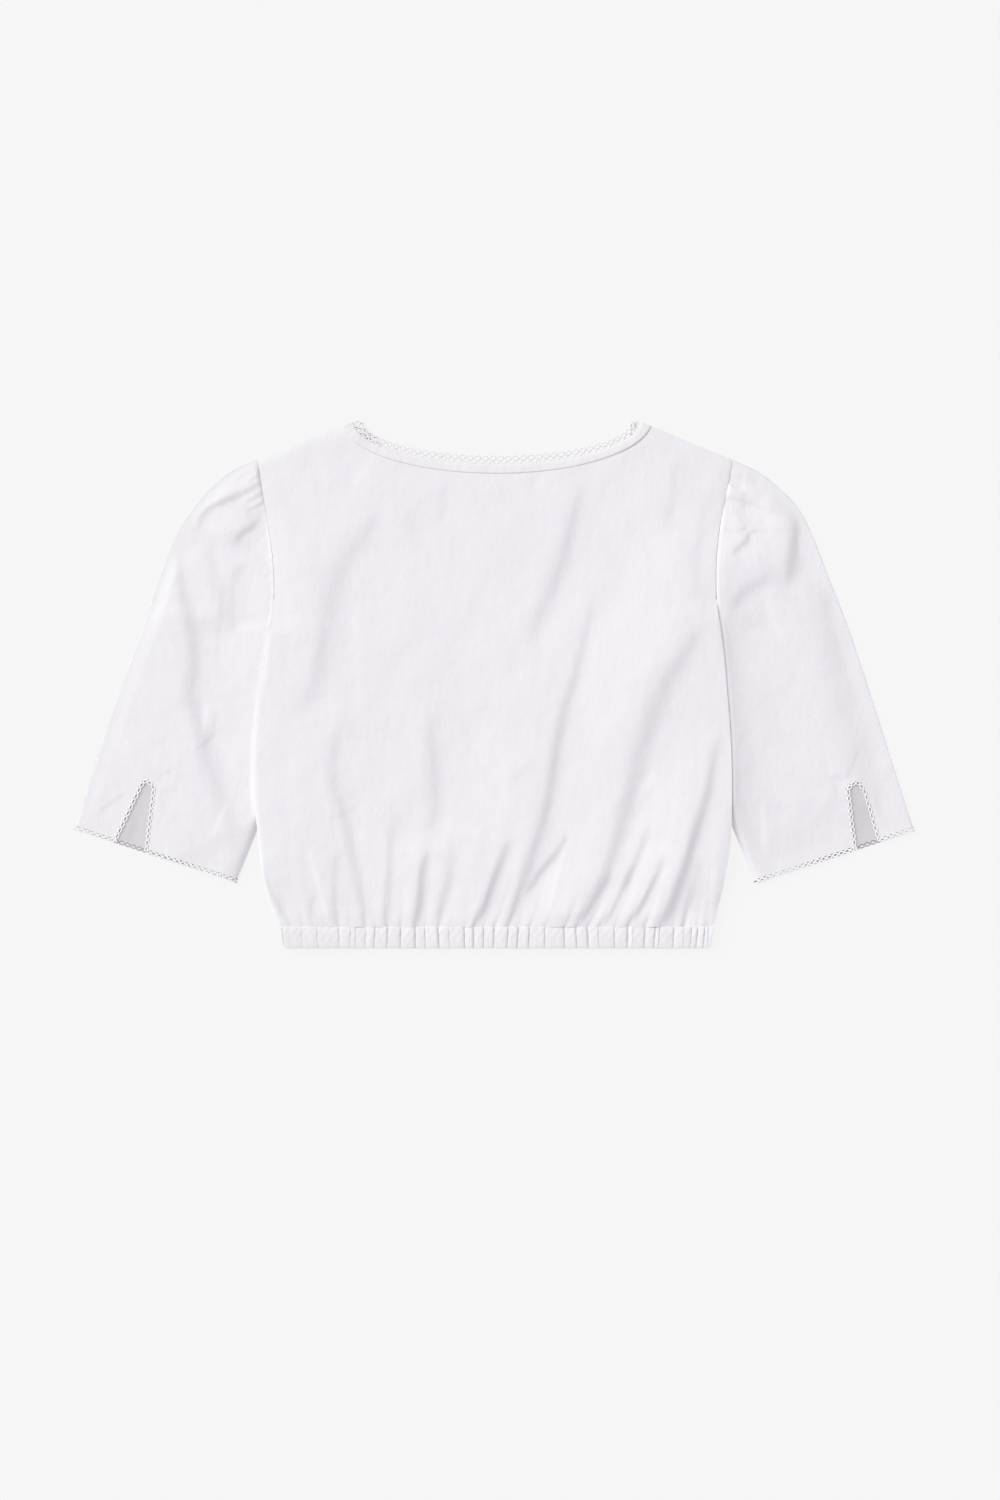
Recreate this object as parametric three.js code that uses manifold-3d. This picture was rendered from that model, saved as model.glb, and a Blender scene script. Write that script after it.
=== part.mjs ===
// A cropped dirndl blouse of white cotton, laid flat with its back up.
// The body is gathered onto an elastic waist casing, the neckline is bound and edged with lace,
// and the puffed elbow sleeves have a laced slit at the hem.
// Millimetres. X runs across the blouse, Y from the hem to the neck, Z up from the surface it lies on.
import * as THREE from "three";
import { mergeVertices } from "three/addons/utils/BufferGeometryUtils.js";
import Module from "manifold-3d";

// Cloth, seams and the air between the layers
const cloth = 1.2;
const seamGap = 0.35;
const armholeGap = 0.45;
const layerGap = 0.5;
const bindingThickness = 1.3;
const laceThickness = 1.0;

// Body panels: where the sleeve lies under them, they ride over it
const shoulderSlope = 0.4156;
const neckCentre = { x: 2, y: 222.7 };
const bodyOverSleeve = 4.9;
const rampWidth = 34;
const plateauMargin = 12;
const sideRise = 30;

// Waist: the elastic casing and the gathers that it draws up
const waistSeamY = -206.5;
const hemY = -225;
const waistGrooves = [
  -173, -160, -149, -140, -129, -116.5, -101, -90, -79, -67, -58, -46, -38, -25, -17, -8, 0,
  11, 20.5, 29, 44, 60, 70, 79, 90, 102, 114, 129, 138, 146, 154, 163, 172, 180,
];
const gatherHeight = 1.9;
const frontGatherHeight = 0.8;
const gatherFade = 24;
const casingThickness = 2.2;
const casingLobes = { back: 1.3, front: 0.6 };

// Neckline: three nested half ellipses on each panel, for the seam, the bound edge and the lace's tip
const neckWidths = { seam: 132, edge: 121.5, lace: 113.5 };
const neckDepths = {
  back: { seam: 45, edge: 36.5, lace: 29.5 },
  front: { seam: 128, edge: 119.5, lace: 112.5 },
};

// Sleeves: a tube pressed flat, its upper layer puffed at the cap
const sleeveEdgeHeight = 3.0;
const sleeveUnderBody = 3.9;
const bodyClearance = 7;
const sleevePillow = 3;
const capGatherCount = 8;
const capGatherHeight = 1.6;
const capGatherFade = 20;
const capGatherShare = 0.36;
const hemLaceWidth = 4.2;
const slitLaceWidth = 3.2;
const slitLaceStop = 2;

// Grid steps of the solids
const shoulderColumns = 12;
const panelRows = 13;
const rowBias = 1.3;
const shoulderPointY = 190;
const sleeveRows = 12;
const hemLaceSteps = 30;
const slitSteps = 5;
const capColumns = 2 * capGatherCount;
const plainColumns = 8;
const underColumns = 8;

const cottonColour = 0xf3f2f6;
const laceColour = 0xf8f8f9;

// Side edges of the body, from the shoulder point down to the hem
const bodySides = [
  { y: 190, left: -201, right: 202 },
  { y: 164, left: -197, right: 197 },
  { y: 139, left: -193, right: 192 },
  { y: 105, left: -188, right: 188 },
  { y: 71, left: -187, right: 188 },
  { y: 37, left: -192, right: 193 },
  { y: -6, left: -198, right: 197 },
  { y: -48, left: -203, right: 200 },
  { y: -91, left: -204, right: 201 },
  { y: -133, left: -200, right: 200 },
  { y: -167, left: -196, right: 195 },
  { y: -189, left: -190, right: 190 },
  { y: -207, left: -182, right: 186 },
  { y: -225, left: -179, right: 183 },
];

// How far the back panel stands off the front one, down the middle of the body
const bodyPuff = [
  { y: 225, height: 0.2 },
  { y: 185, height: 0.9 },
  { y: 140, height: 2.2 },
  { y: 60, height: 3.2 },
  { y: -60, height: 3.8 },
  { y: -140, height: 4.4 },
  { y: -175, height: 4.4 },
  { y: -196, height: 3.2 },
  { y: -207, height: 1.2 },
];

// Largest folds of the back panel: a crest, its height, and its reach to its left and to its right
const bodyFolds = [
  { crest: [[-104, 151], [-140, 100], [-152, 45], [-167, -6], [-184, -45]], height: 3.2, left: 34, right: 19 },
  { crest: [[-118, 60], [-122, -14], [-118, -82], [-106, -142], [-98, -197]], height: 1.9, left: 16, right: 22 },
  { crest: [[-56, -25], [-62, -82], [-67, -125], [-76, -197]], height: 1.8, left: 20, right: 11 },
  { crest: [[68, 173], [49, 122], [35, 79], [20, 33], [0, -12]], height: 2.6, left: 36, right: 18 },
  { crest: [[84, 75], [70, 28], [56, -14], [42, -75], [25, -138], [5, -197]], height: 3.2, left: 20, right: 12 },
  { crest: [[13, -112], [2, -150], [-9, -176], [-19, -200]], height: 2.4, left: 11, right: 9 },
  { crest: [[166, 48], [144, 12], [120, -26], [102, -95], [84, -142], [56, -192]], height: 3.8, left: 36, right: 17 },
  { crest: [[118, -118], [100, -159], [80, -193]], height: 2.2, left: 12, right: 10 },
  { crest: [[177, -50], [170, -99], [154, -142], [132, -197]], height: 3.2, left: 30, right: 13 },
];

// Sleeve outlines: the outer fold from shoulder to hem, the armhole seam, and the two ends of the inner edge
const sleeves = {
  left: {
    outer: [
      [-201, 190], [-221.5, 180.5], [-239, 167], [-255.3, 148], [-269.5, 126],
      [-282.6, 92], [-300, 43], [-321, -14], [-342.3, -80], [-355, -121],
    ],
    armholeEnd: [{ y: 32, x: -176 }, { y: -6, x: -152 }],
    hemTip: [-217.8, -166],
    slit: { outerFoot: [-324, -134], outerTop: [-303, -90], crown: [-296, -74], innerTop: [-287.5, -89], innerFoot: [-294, -143] },
    folds: [
      { crest: [[-268, 120], [-273, 80], [-272, 20], [-266, -30], [-252, -80], [-236, -120]], height: 3.4, left: 34, right: 17 },
      { crest: [[-212, 142], [-232, 138], [-246, 128]], height: 2.2, left: 14, right: 9 },
    ],
  },
  right: {
    outer: [
      [202, 190], [223.5, 179.5], [240, 167], [257.5, 149], [270.8, 123],
      [284.3, 88], [299.5, 49], [320.6, -14], [341.5, -80], [355, -122],
    ],
    armholeEnd: [{ y: 32, x: 177 }, { y: -6, x: 154 }],
    hemTip: [220, -167],
    slit: { outerFoot: [328, -133], outerTop: [316, -92], crown: [308, -75], innerTop: [298.5, -90], innerFoot: [305, -142] },
    folds: [
      { crest: [[251, 142], [250, 110], [246, 80]], height: 2.6, left: 26, right: 10 },
      { crest: [[262, 60], [268, 0], [276, -60], [290, -110]], height: 2.8, left: 40, right: 26 },
    ],
  },
};

// A table's column at a value of its first column, smoothly between the rows
function lookUp(table, key, at, column) {
  const rising = table[0][key] < table[table.length - 1][key];
  const rows = rising ? table : [...table].reverse();
  const last = rows.length - 1;
  if (at <= rows[0][key]) return rows[0][column];
  if (at >= rows[last][key]) return rows[last][column];
  const k = rows.findIndex((row) => row[key] > at) - 1;
  const slope = (a, b) => (rows[b][column] - rows[a][column]) / (rows[b][key] - rows[a][key]);
  const width = rows[k + 1][key] - rows[k][key];
  const t = (at - rows[k][key]) / width;
  const start = slope(Math.max(k - 1, 0), k + 1) * width;
  const end = slope(k, Math.min(k + 2, last)) * width;
  return THREE.MathUtils.lerp(rows[k][column], rows[k + 1][column], t * t * (3 - 2 * t))
    + start * t * (1 - t) ** 2 - end * t * t * (1 - t);
}

const leftSide = (y) => lookUp(bodySides, "y", y, "left");
const rightSide = (y) => lookUp(bodySides, "y", y, "right");
const rise = (distance, reach) => 1 - Math.exp(-Math.max(distance, 0) / reach);
const smooth = (t) => THREE.MathUtils.smoothstep(t, 0, 1);
const lerp = THREE.MathUtils.lerp;
const between = (a, b, share) => a.map((value, k) => lerp(value, b[k], share));
const evenShares = (count) => Array.from({ length: count + 1 }, (_, k) => k / count);

// Distance from a point to a polyline, and the side of it that the point is on
function offsetFrom(line, x, y) {
  let best = { distance: Infinity, side: 1 };
  for (let k = 0; k + 1 < line.length; k++) {
    const [ax, ay] = line[k];
    const [bx, by] = line[k + 1];
    const along = THREE.MathUtils.clamp(
      ((x - ax) * (bx - ax) + (y - ay) * (by - ay)) / ((bx - ax) ** 2 + (by - ay) ** 2), 0, 1);
    const dx = x - lerp(ax, bx, along);
    const dy = y - lerp(ay, by, along);
    const distance = Math.hypot(dx, dy);
    if (distance < best.distance) best = { distance, side: Math.sign(dx * (ay - by) + dy * (bx - ax)) || 1 };
  }
  return best;
}

// Height that a table of folds adds at a point
function foldHeight(folds, x, y) {
  let height = 0;
  for (const fold of folds) {
    const { distance, side } = offsetFrom(fold.crest, x, y);
    height += fold.height * Math.exp(-((distance / (side > 0 ? fold.right : fold.left)) ** 2));
  }
  return height;
}

// The armhole seam: down the body's side, then curving in under it to the underarm
function armholeTable(sleeve) {
  const column = sleeve.armholeEnd[0].x < 0 ? "left" : "right";
  const shared = bodySides.filter((row) => row.y > 60).map((row) => ({ y: row.y, x: row[column] }));
  return [...shared, ...sleeve.armholeEnd];
}

// Height of a panel's row, at its side edge
const sideRowY = (row) => lerp(shoulderPointY, waistSeamY + seamGap, 1 - (1 - row / panelRows) ** rowBias);

// Where a panel takes part in the armhole, the sleeve follows the straight steps of the panel's edge
function armholePoint(table, share) {
  const y = lerp(table[0].y, table[table.length - 1].y, share);
  const rows = evenShares(panelRows).map((row) => sideRowY(row * panelRows));
  const k = Math.max(rows.findIndex((row) => row <= y), 1);
  if (rows[k] < table[table.length - 3].y) return [lookUp(table, "y", y, "x"), y];
  const ends = [rows[k - 1], rows[k]].map((row) => lookUp(table, "y", row, "x"));
  return [lerp(...ends, (rows[k - 1] - y) / (rows[k - 1] - rows[k])), y];
}

// The part of a sleeve that lies hidden under the body: its upper corner, the underarm and its lower corner
function hiddenCorners(sleeve) {
  const table = armholeTable(sleeve);
  const side = table[0].x < 0 ? leftSide : rightSide;
  const shared = table[table.length - 3];
  const underarm = table[table.length - 1];
  return [[shared.x, shared.y], [underarm.x, underarm.y], [side(-140), -140]];
}

// The x of a three-point line at a height
function edgeAt([top, middle, foot], y) {
  const [upper, lower] = y > middle[1] ? [top, middle] : [middle, foot];
  return lerp(upper[0], lower[0], THREE.MathUtils.clamp((upper[1] - y) / (upper[1] - lower[1]), 0, 1));
}

// How high the body is carried by the sleeves that lie under its sides
function bodyLift(x, y) {
  const hidden = hiddenCorners(x < 0 ? sleeves.left : sleeves.right);
  const inside = Math.abs(x) > Math.abs(edgeAt(hidden, y)) && y < hidden[0][1] && y > hidden[2][1];
  const distance = inside ? 0 : offsetFrom(hidden, x, y).distance;
  return bodyOverSleeve * smooth(1 - (distance - plateauMargin) / rampWidth);
}

const shoulderY = (x) => shoulderPointY - shoulderSlope * (Math.abs(x) - 201);

// Angle at which a neck ellipse meets the line of the shoulder seam
function shoulderAngle(width, depth) {
  let low = -0.3;
  let high = 0.6;
  for (let step = 0; step < 40; step++) {
    const middle = (low + high) / 2;
    const x = neckCentre.x + width * Math.cos(middle);
    const y = neckCentre.y - depth * Math.sin(middle);
    if (y > shoulderY(x)) low = middle;
    else high = middle;
  }
  return high;
}

// A point of a neck ellipse, at a share of the way from the left shoulder to the right one
function neckPoint(side, line, share) {
  const width = neckWidths[line];
  const depth = neckDepths[side][line];
  const start = shoulderAngle(width, depth);
  const angle = Math.PI - start - share * (Math.PI - 2 * start);
  return [neckCentre.x + width * Math.cos(angle), neckCentre.y - depth * Math.sin(angle)];
}

// Columns of a panel at the waist, as shares of its width: one in each groove and one on the lobe between
const waistShares = (() => {
  const left = leftSide(hemY);
  const right = rightSide(hemY);
  const marks = [left, ...waistGrooves, right];
  const columns = marks.flatMap((mark, k) => (k ? [(marks[k - 1] + mark) / 2, mark] : [mark]));
  return columns.map((x) => (x - left) / (right - left));
})();
const columnCount = waistShares.length - 1;
const neckColumns = columnCount - 2 * shoulderColumns;

// The wave of the gathers at a column: none in a groove, and uneven from lobe to lobe
const gatherWave = (column) => (column % 2 ? 0.8 + 0.2 * Math.sin(2.3 * column) : 0);
const gatherFadeAt = (y) => Math.max(Math.exp(-(y - waistSeamY) / gatherFade) - 0.02, 0);

// Top ends of a panel's columns: along one shoulder, round the neck and along the other shoulder
function topEdge(side) {
  const neck = evenShares(neckColumns).map((share) => neckPoint(side, "seam", share));
  const shoulder = evenShares(shoulderColumns);
  return [
    ...shoulder.slice(0, -1).map((share) => between([leftSide(shoulderPointY), shoulderPointY], neck[0], share)),
    ...neck,
    ...shoulder.slice(1).map((share) => between(neck[neckColumns], [rightSide(shoulderPointY), shoulderPointY], share)),
  ];
}

// The points of a panel, by column and row, from its top edge to the waist seam
function panelGrid(side) {
  return topEdge(side).map(([topX, topY], column) => {
    const topShare = (topX - leftSide(topY)) / (rightSide(topY) - leftSide(topY));
    return evenShares(panelRows).map((row) => {
      const down = 1 - (1 - row) ** rowBias;
      const y = lerp(topY, waistSeamY + seamGap, down);
      return [lerp(leftSide(y), rightSide(y), lerp(topShare, waistShares[column], down)), y];
    });
  });
}

// Underside of the front panel: flat on the surface, but for the gathers and the sleeves under its sides
function frontUnder(x, y, column) {
  return bodyLift(x, y) + frontGatherHeight * gatherWave(column) * gatherFadeAt(y);
}

// Underside of the back panel, without its gathers
function backFloor(x, y) {
  const side = rise(Math.min(x - leftSide(y), rightSide(y) - x), sideRise);
  const puff = lookUp(bodyPuff, "y", y, "height");
  const folds = foldHeight(bodyFolds, x, y) * smooth(puff / 3);
  return bodyLift(x, y) + cloth + frontGatherHeight * gatherFadeAt(y) + layerGap + side * (puff + folds);
}

function backUnder(x, y, column) {
  const side = rise(Math.min(x - leftSide(y), rightSide(y) - x), sideRise);
  return backFloor(x, y) + gatherHeight * gatherWave(column) * gatherFadeAt(y) * (0.4 + 0.6 * side);
}

function signedVolume(points, faces) {
  const corner = (index) => new THREE.Vector3(...points[index]);
  let volume = 0;
  for (let k = 0; k < faces.length; k += 3) {
    volume += corner(faces[k]).dot(corner(faces[k + 1]).cross(corner(faces[k + 2]))) / 6;
  }
  return volume;
}

// A solid from a row of equal loops of points, each with its upper points first and its lower ones back
function loft(loops, closed) {
  const size = loops[0].length;
  const points = loops.flat();
  const faces = [];
  const quad = (a, b, c, d) => faces.push(a, b, c, a, c, d);
  const spans = closed ? loops.length : loops.length - 1;
  for (let k = 0; k < spans; k++) {
    const here = k * size;
    const next = ((k + 1) % loops.length) * size;
    for (let j = 0; j < size; j++) {
      const following = (j + 1) % size;
      quad(here + j, here + following, next + following, next + j);
    }
  }
  if (!closed) {
    const end = (loops.length - 1) * size;
    for (let j = 0; j + 1 < size / 2; j++) {
      quad(size - 1 - j, size - 2 - j, j + 1, j);
      quad(end + j, end + j + 1, end + size - 2 - j, end + size - 1 - j);
    }
  }
  const geometry = new THREE.BufferGeometry();
  geometry.setAttribute("position", new THREE.Float32BufferAttribute(points.flat(), 3));
  geometry.setIndex(signedVolume(points, faces) < 0 ? faces.reverse() : faces);
  return geometry;
}

// A panel's solid: at each column a loop runs down its upper side and back up its underside
function panelSolid(side, under) {
  const loops = panelGrid(side).map((points, column) => {
    const low = points.map(([x, y]) => [x, y, under(x, y, column)]);
    const high = low.map(([x, y, z]) => [x, y, z + cloth]);
    return [...high, ...low.reverse()];
  });
  return loft(loops, false);
}

// Half of the waist casing, flat inside and drawn up outside into lobes between narrow grooves
function casingSolid(floor, lobe) {
  const rows = [
    { y: waistSeamY, height: 0.55 },
    { y: waistSeamY - 6, height: 1 },
    { y: hemY, height: 0.5 },
  ];
  const loops = waistShares.map((share, column) => {
    const plan = rows.map(({ y }) => [lerp(leftSide(y), rightSide(y), share), y]);
    const top = rows.map(({ height }, row) => {
      const lobes = lobe * gatherWave(column) * height;
      return [...plan[row], floor + casingThickness * (0.6 + 0.4 * height) + lobes];
    });
    return [...top, ...plan.map((point) => [...point, floor]).reverse()];
  });
  return loft(loops, false);
}

// A trim that follows the neckline, between two of its nested ellipses
function neckTrim(side, outer, inner, floor, thickness) {
  const loops = evenShares(neckColumns).map((share) => {
    const from = neckPoint(side, outer, share);
    const to = neckPoint(side, inner, share);
    const near = between(from, to, seamGap / Math.hypot(to[0] - from[0], to[1] - from[1]));
    const low = floor(...neckPoint(side, "seam", share));
    return [[...near, low + thickness], [...to, low + thickness], [...to, low], [...near, low]];
  });
  return loft(loops, false);
}

// A sleeve's plan: the Coons patch between its outer fold, its inner edge, the armhole and the hem
function sleevePlan(sleeve) {
  const outward = Math.sign(sleeve.hemTip[0]) * armholeGap;
  const fold = new THREE.SplineCurve(sleeve.outer.map(([x, y]) => new THREE.Vector2(x, y)));
  const armhole = armholeTable(sleeve);
  const hem = [sleeve.outer[sleeve.outer.length - 1], sleeve.hemTip];
  const underarm = armholePoint(armhole, 1);
  return (down, across) => {
    const outer = fold.getPointAt(down).toArray();
    const inner = between(underarm, sleeve.hemTip, down);
    const top = armholePoint(armhole, across);
    const foot = between(hem[0], hem[1], across);
    const corners = between(between(sleeve.outer[0], underarm, across), foot, down);
    const middle = between(outer, inner, across);
    const rails = between(top, foot, down);
    return [middle[0] + rails[0] - corners[0] + outward, middle[1] + rails[1] - corners[1]];
  };
}

// Upper surface of a flattened sleeve
function sleeveTop(sleeve, x, y) {
  const outside = x < 0 ? leftSide(y) - x : x - rightSide(y);
  const [, underarm] = hiddenCorners(sleeve);
  const hem = [sleeve.outer[sleeve.outer.length - 1], sleeve.hemTip];
  const armhole = armholeTable(sleeve).map((row) => [row.x, row.y]);
  const fromFold = offsetFrom(sleeve.outer, x, y).distance;
  const fromInner = offsetFrom([underarm, sleeve.hemTip], x, y).distance;
  const edges = rise(fromFold, 14) * rise(fromInner, 9) * rise(offsetFrom(armhole, x, y).distance, 10);
  const puff = sleevePillow * (0.45 + 0.55 * rise(offsetFrom(hem, x, y).distance, 25));
  const free = rise(outside - bodyClearance, 16) * (puff + foldHeight(sleeve.folds, x, y));
  return sleeveEdgeHeight + edges * (sleeveUnderBody - sleeveEdgeHeight + free);
}

// Shares across the upper layer: two for each cap gather, then wider ones over the rest
const upperShares = [
  ...evenShares(capColumns).map((share) => share * capGatherShare),
  ...evenShares(plainColumns).slice(1).map((share) => lerp(capGatherShare, 1, share)),
];

function capWave(across) {
  return across < capGatherShare ? Math.sin((Math.PI * across * capGatherCount) / capGatherShare) ** 2 : 0;
}

// The outer and the inner skin of the sleeve's wall, at one place round the flattened tube
function sleeveRing(sleeve) {
  const plan = sleevePlan(sleeve);
  const outward = Math.sign(sleeve.hemTip[0]) * armholeGap;
  const towards = ([x, y], [cx, cy], by) => {
    const length = Math.hypot(cx - x, cy - y);
    return [x + ((cx - x) * by) / length, y + ((cy - y) * by) / length];
  };
  return ({ layer, across }, down) => {
    const middle = plan(down, 0.5);
    const at = plan(down, across);
    const inset = across === 0 || across === 1 ? towards(at, middle, cloth) : at;
    if (layer === "fold") {
      const half = sleeveEdgeHeight / 2;
      return { outer: [...towards(at, middle, -0.6), half], inner: [...towards(at, middle, cloth - 0.3), half] };
    }
    if (layer === "under") return { outer: [...at, 0], inner: [...inset, cloth] };
    const seam = plan(0, across);
    const fromSeam = Math.hypot(at[0] - seam[0], at[1] - seam[1]);
    const gathers = capGatherHeight * capWave(across) * Math.exp(-fromSeam / capGatherFade);
    const top = sleeveTop(sleeve, at[0] - outward, at[1]) + gathers;
    return { outer: [...at, top], inner: [...inset, top - cloth] };
  };
}

const over = (across) => ({ layer: "over", across });
const under = (across) => ({ layer: "under", across });
const fold = (across) => ({ layer: "fold", across });

// A sleeve's tube: over from the outer fold to the inner edge, and back underneath
function sleeveTube(sleeve) {
  const ring = sleeveRing(sleeve);
  const back = evenShares(underColumns).reverse();
  const places = [...upperShares.map(over), fold(1), ...back.map(under), fold(0)];
  const loops = places.map((place) => {
    const rows = evenShares(sleeveRows).map((share) => ring(place, share ** 1.2));
    return [...rows.map((row) => row.outer), ...rows.reverse().map((row) => row.inner)];
  });
  return loft(loops, true);
}

// The edge of the hem slit, from one foot up over its top and down to the other foot
function slitEdge({ outerFoot, outerTop, crown, innerTop, innerFoot }) {
  const point = ([x, y]) => new THREE.Vector2(x, y);
  const top = new THREE.QuadraticBezierCurve(point(outerTop), point(crown), point(innerTop));
  const leg = (from, to) => evenShares(slitSteps).map((share) => between(from, to, share));
  return [
    ...leg(outerFoot, outerTop).slice(0, -1),
    ...top.getPoints(6).map((at) => at.toArray()),
    ...leg(innerTop, innerFoot).slice(1),
  ];
}

// The slit is cut through the upper layer alone, and its cutter runs on beyond the hem
function cutSlit(geometry, slit, solids) {
  const edge = slitEdge(slit);
  const beyond = (from, to) => between(from, to, 1.3);
  const outline = [beyond(slit.outerTop, slit.outerFoot), ...edge, beyond(slit.innerTop, slit.innerFoot)];
  const shape = new THREE.Shape(outline.map(([x, y]) => new THREE.Vector2(x, y)));
  const cutter = new THREE.ExtrudeGeometry(shape, { depth: 40, bevelEnabled: false });
  cutter.translate(0, 0, cloth + 0.25);
  return fromSolid(toSolid(geometry, solids).subtract(toSolid(cutter, solids)));
}

function toSolid(geometry, solids) {
  const bare = geometry.clone();
  bare.deleteAttribute("normal");
  bare.deleteAttribute("uv");
  const merged = mergeVertices(bare, 1e-4);
  return new solids.Manifold(new solids.Mesh({
    numProp: 3,
    vertProperties: merged.attributes.position.array,
    triVerts: new Uint32Array(merged.index.array),
  }));
}

function fromSolid(solid) {
  const mesh = solid.getMesh();
  const geometry = new THREE.BufferGeometry();
  geometry.setAttribute("position", new THREE.Float32BufferAttribute(mesh.vertProperties, 3));
  geometry.setIndex(Array.from(mesh.triVerts));
  return geometry;
}

// Lace round the sleeve's hem, from one foot of the slit round under the sleeve to the other foot
function hemLace(sleeve) {
  const ring = sleeveRing(sleeve);
  const start = sleeve.outer[sleeve.outer.length - 1];
  const end = sleeve.hemTip;
  const length = Math.hypot(end[0] - start[0], end[1] - start[1]);
  const mirror = Math.sign(start[0]);
  const out = [(mirror * (start[1] - end[1])) / length, (mirror * (end[0] - start[0])) / length];
  const shareOf = ([x, y]) => Math.hypot(x - start[0], y - start[1]) / length;
  const outerStop = shareOf(sleeve.slit.outerFoot);
  const innerStart = shareOf(sleeve.slit.innerFoot);
  const spread = (from, to) => {
    const steps = Math.max(2, Math.round(hemLaceSteps * Math.abs(to - from)));
    return evenShares(steps).map((share) => lerp(from, to, share));
  };
  const places = [
    ...spread(innerStart, 1).map(over), fold(1),
    ...spread(1, 0).map(under), fold(0),
    ...spread(0, outerStop).map(over),
  ];
  const loops = places.map((place) => {
    const { outer, inner } = ring(place, 1);
    const moved = ([x, y, z], by) => [x + out[0] * by, y + out[1] * by, z];
    return [moved(outer, seamGap), moved(outer, hemLaceWidth), moved(inner, hemLaceWidth), moved(inner, seamGap)];
  });
  return loft(loops, false);
}

// Lace along both edges of the slit and round its top, stopping short of the lace round the hem
function slitLace(sleeve) {
  const edge = slitEdge(sleeve.slit);
  const inward = -Math.sign(sleeve.hemTip[0]);
  const last = edge.length - 1;
  const shortened = (from, to) => between(from, to, slitLaceStop / Math.hypot(to[0] - from[0], to[1] - from[1]));
  const path = [shortened(edge[0], edge[1]), ...edge.slice(1, -1), shortened(edge[last], edge[last - 1])];
  const loops = path.map((at, k) => {
    const before = path[Math.max(k - 1, 0)];
    const after = path[Math.min(k + 1, last)];
    const way = new THREE.Vector2(after[0] - before[0], after[1] - before[1]).normalize();
    const aside = (by) => [at[0] + way.y * inward * by, at[1] - way.x * inward * by];
    const top = sleeveTop(sleeve, ...at);
    const [near, far] = [aside(seamGap), aside(slitLaceWidth)];
    return [[...near, top], [...far, top], [...far, top - laceThickness], [...near, top - laceThickness]];
  });
  return loft(loops, false);
}

const solids = await Module();
solids.setup();

const cotton = new THREE.MeshStandardMaterial({ color: cottonColour, roughness: 0.85, metalness: 0 });
const lace = new THREE.MeshStandardMaterial({ color: laceColour, roughness: 0.8, metalness: 0 });

function piece(name, geometry, material) {
  geometry.computeVertexNormals();
  const mesh = new THREE.Mesh(geometry, material);
  mesh.name = name;
  return mesh;
}

const frontFloor = () => 0;
const backCasingFloor = casingThickness + casingLobes.front + layerGap;

const blouse = new THREE.Group();
blouse.add(
  piece("back_panel", panelSolid("back", backUnder), cotton),
  piece("front_panel", panelSolid("front", frontUnder), cotton),
  piece("waist_casing_back", casingSolid(backCasingFloor, casingLobes.back), cotton),
  piece("waist_casing_front", casingSolid(0, casingLobes.front), cotton),
  piece("neck_binding_back", neckTrim("back", "seam", "edge", backFloor, bindingThickness), cotton),
  piece("neck_binding_front", neckTrim("front", "seam", "edge", frontFloor, bindingThickness), cotton),
  piece("neck_lace_back", neckTrim("back", "edge", "lace", backFloor, laceThickness), lace),
  piece("neck_lace_front", neckTrim("front", "edge", "lace", frontFloor, laceThickness), lace),
);
for (const [side, sleeve] of Object.entries(sleeves)) {
  blouse.add(
    piece(`sleeve_${side}`, cutSlit(sleeveTube(sleeve), sleeve.slit, solids), cotton),
    piece(`hem_lace_${side}`, hemLace(sleeve), lace),
    piece(`slit_lace_${side}`, slitLace(sleeve), lace),
  );
}

export default blouse;
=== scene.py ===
"""A cropped dirndl blouse of white cotton, laid flat with its back up, seen from straight above."""

import math

import bmesh
import bpy
import numpy as np
from mathutils import Matrix, Vector


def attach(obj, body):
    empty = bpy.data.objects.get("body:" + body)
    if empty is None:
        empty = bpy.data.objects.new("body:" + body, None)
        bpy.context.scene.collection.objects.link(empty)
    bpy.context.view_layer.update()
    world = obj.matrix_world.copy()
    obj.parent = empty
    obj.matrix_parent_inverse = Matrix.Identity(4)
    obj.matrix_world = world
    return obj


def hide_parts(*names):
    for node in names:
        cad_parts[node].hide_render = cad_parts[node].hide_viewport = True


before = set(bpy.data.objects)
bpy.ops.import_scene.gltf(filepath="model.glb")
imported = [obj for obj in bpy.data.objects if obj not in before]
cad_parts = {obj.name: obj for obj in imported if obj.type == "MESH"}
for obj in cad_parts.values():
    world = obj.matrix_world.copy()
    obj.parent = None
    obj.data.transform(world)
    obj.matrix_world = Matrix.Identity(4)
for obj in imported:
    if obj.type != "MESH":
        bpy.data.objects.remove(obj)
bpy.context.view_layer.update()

# Every length here is in millimetres, and a mesh is brought to metres when it is made
METRE = 0.001
CLOTH = 0.45
ARMHOLE_GAP = 0.3
LAYER_GAP = 0.5
SOLID_WALL = 1.2

SHOULDER_X = 201
SHOULDER_Y = 190
SHOULDER_SLOPE = 0.4156
UNDERARM_Y = 71
WAIST_Y = -206.5
PANEL_UNDER_CASING = 0.3
HEM_Y = -225
NECK_CENTRE = (2, 222.7)
NECK_WIDTHS = {"seam": 132, "edge": 121.5, "lace": 113.5}
NECK_DEPTHS = {
    "back": {"seam": 45, "edge": 36.5, "lace": 29.5},
    "front": {"seam": 128, "edge": 119.5, "lace": 112.5},
}
NECK_TUCK = 0.4
FRONT_NECK_SWING = 14
BINDING_HEIGHT = 1.3

# How the back panel spans between the sleeves that lie under its sides, and rises from its edges
PLATEAU_MARGIN = 12
SPANNED = 1.65
SIDE_RISE = 30
SHOULDER_COSINE = 0.92
WAIST_EASE = 45
WAIST_PUFF = 1.2
FRONT_WAIST_PUFF = 0.8
SEWN_FADE = 22

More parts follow.
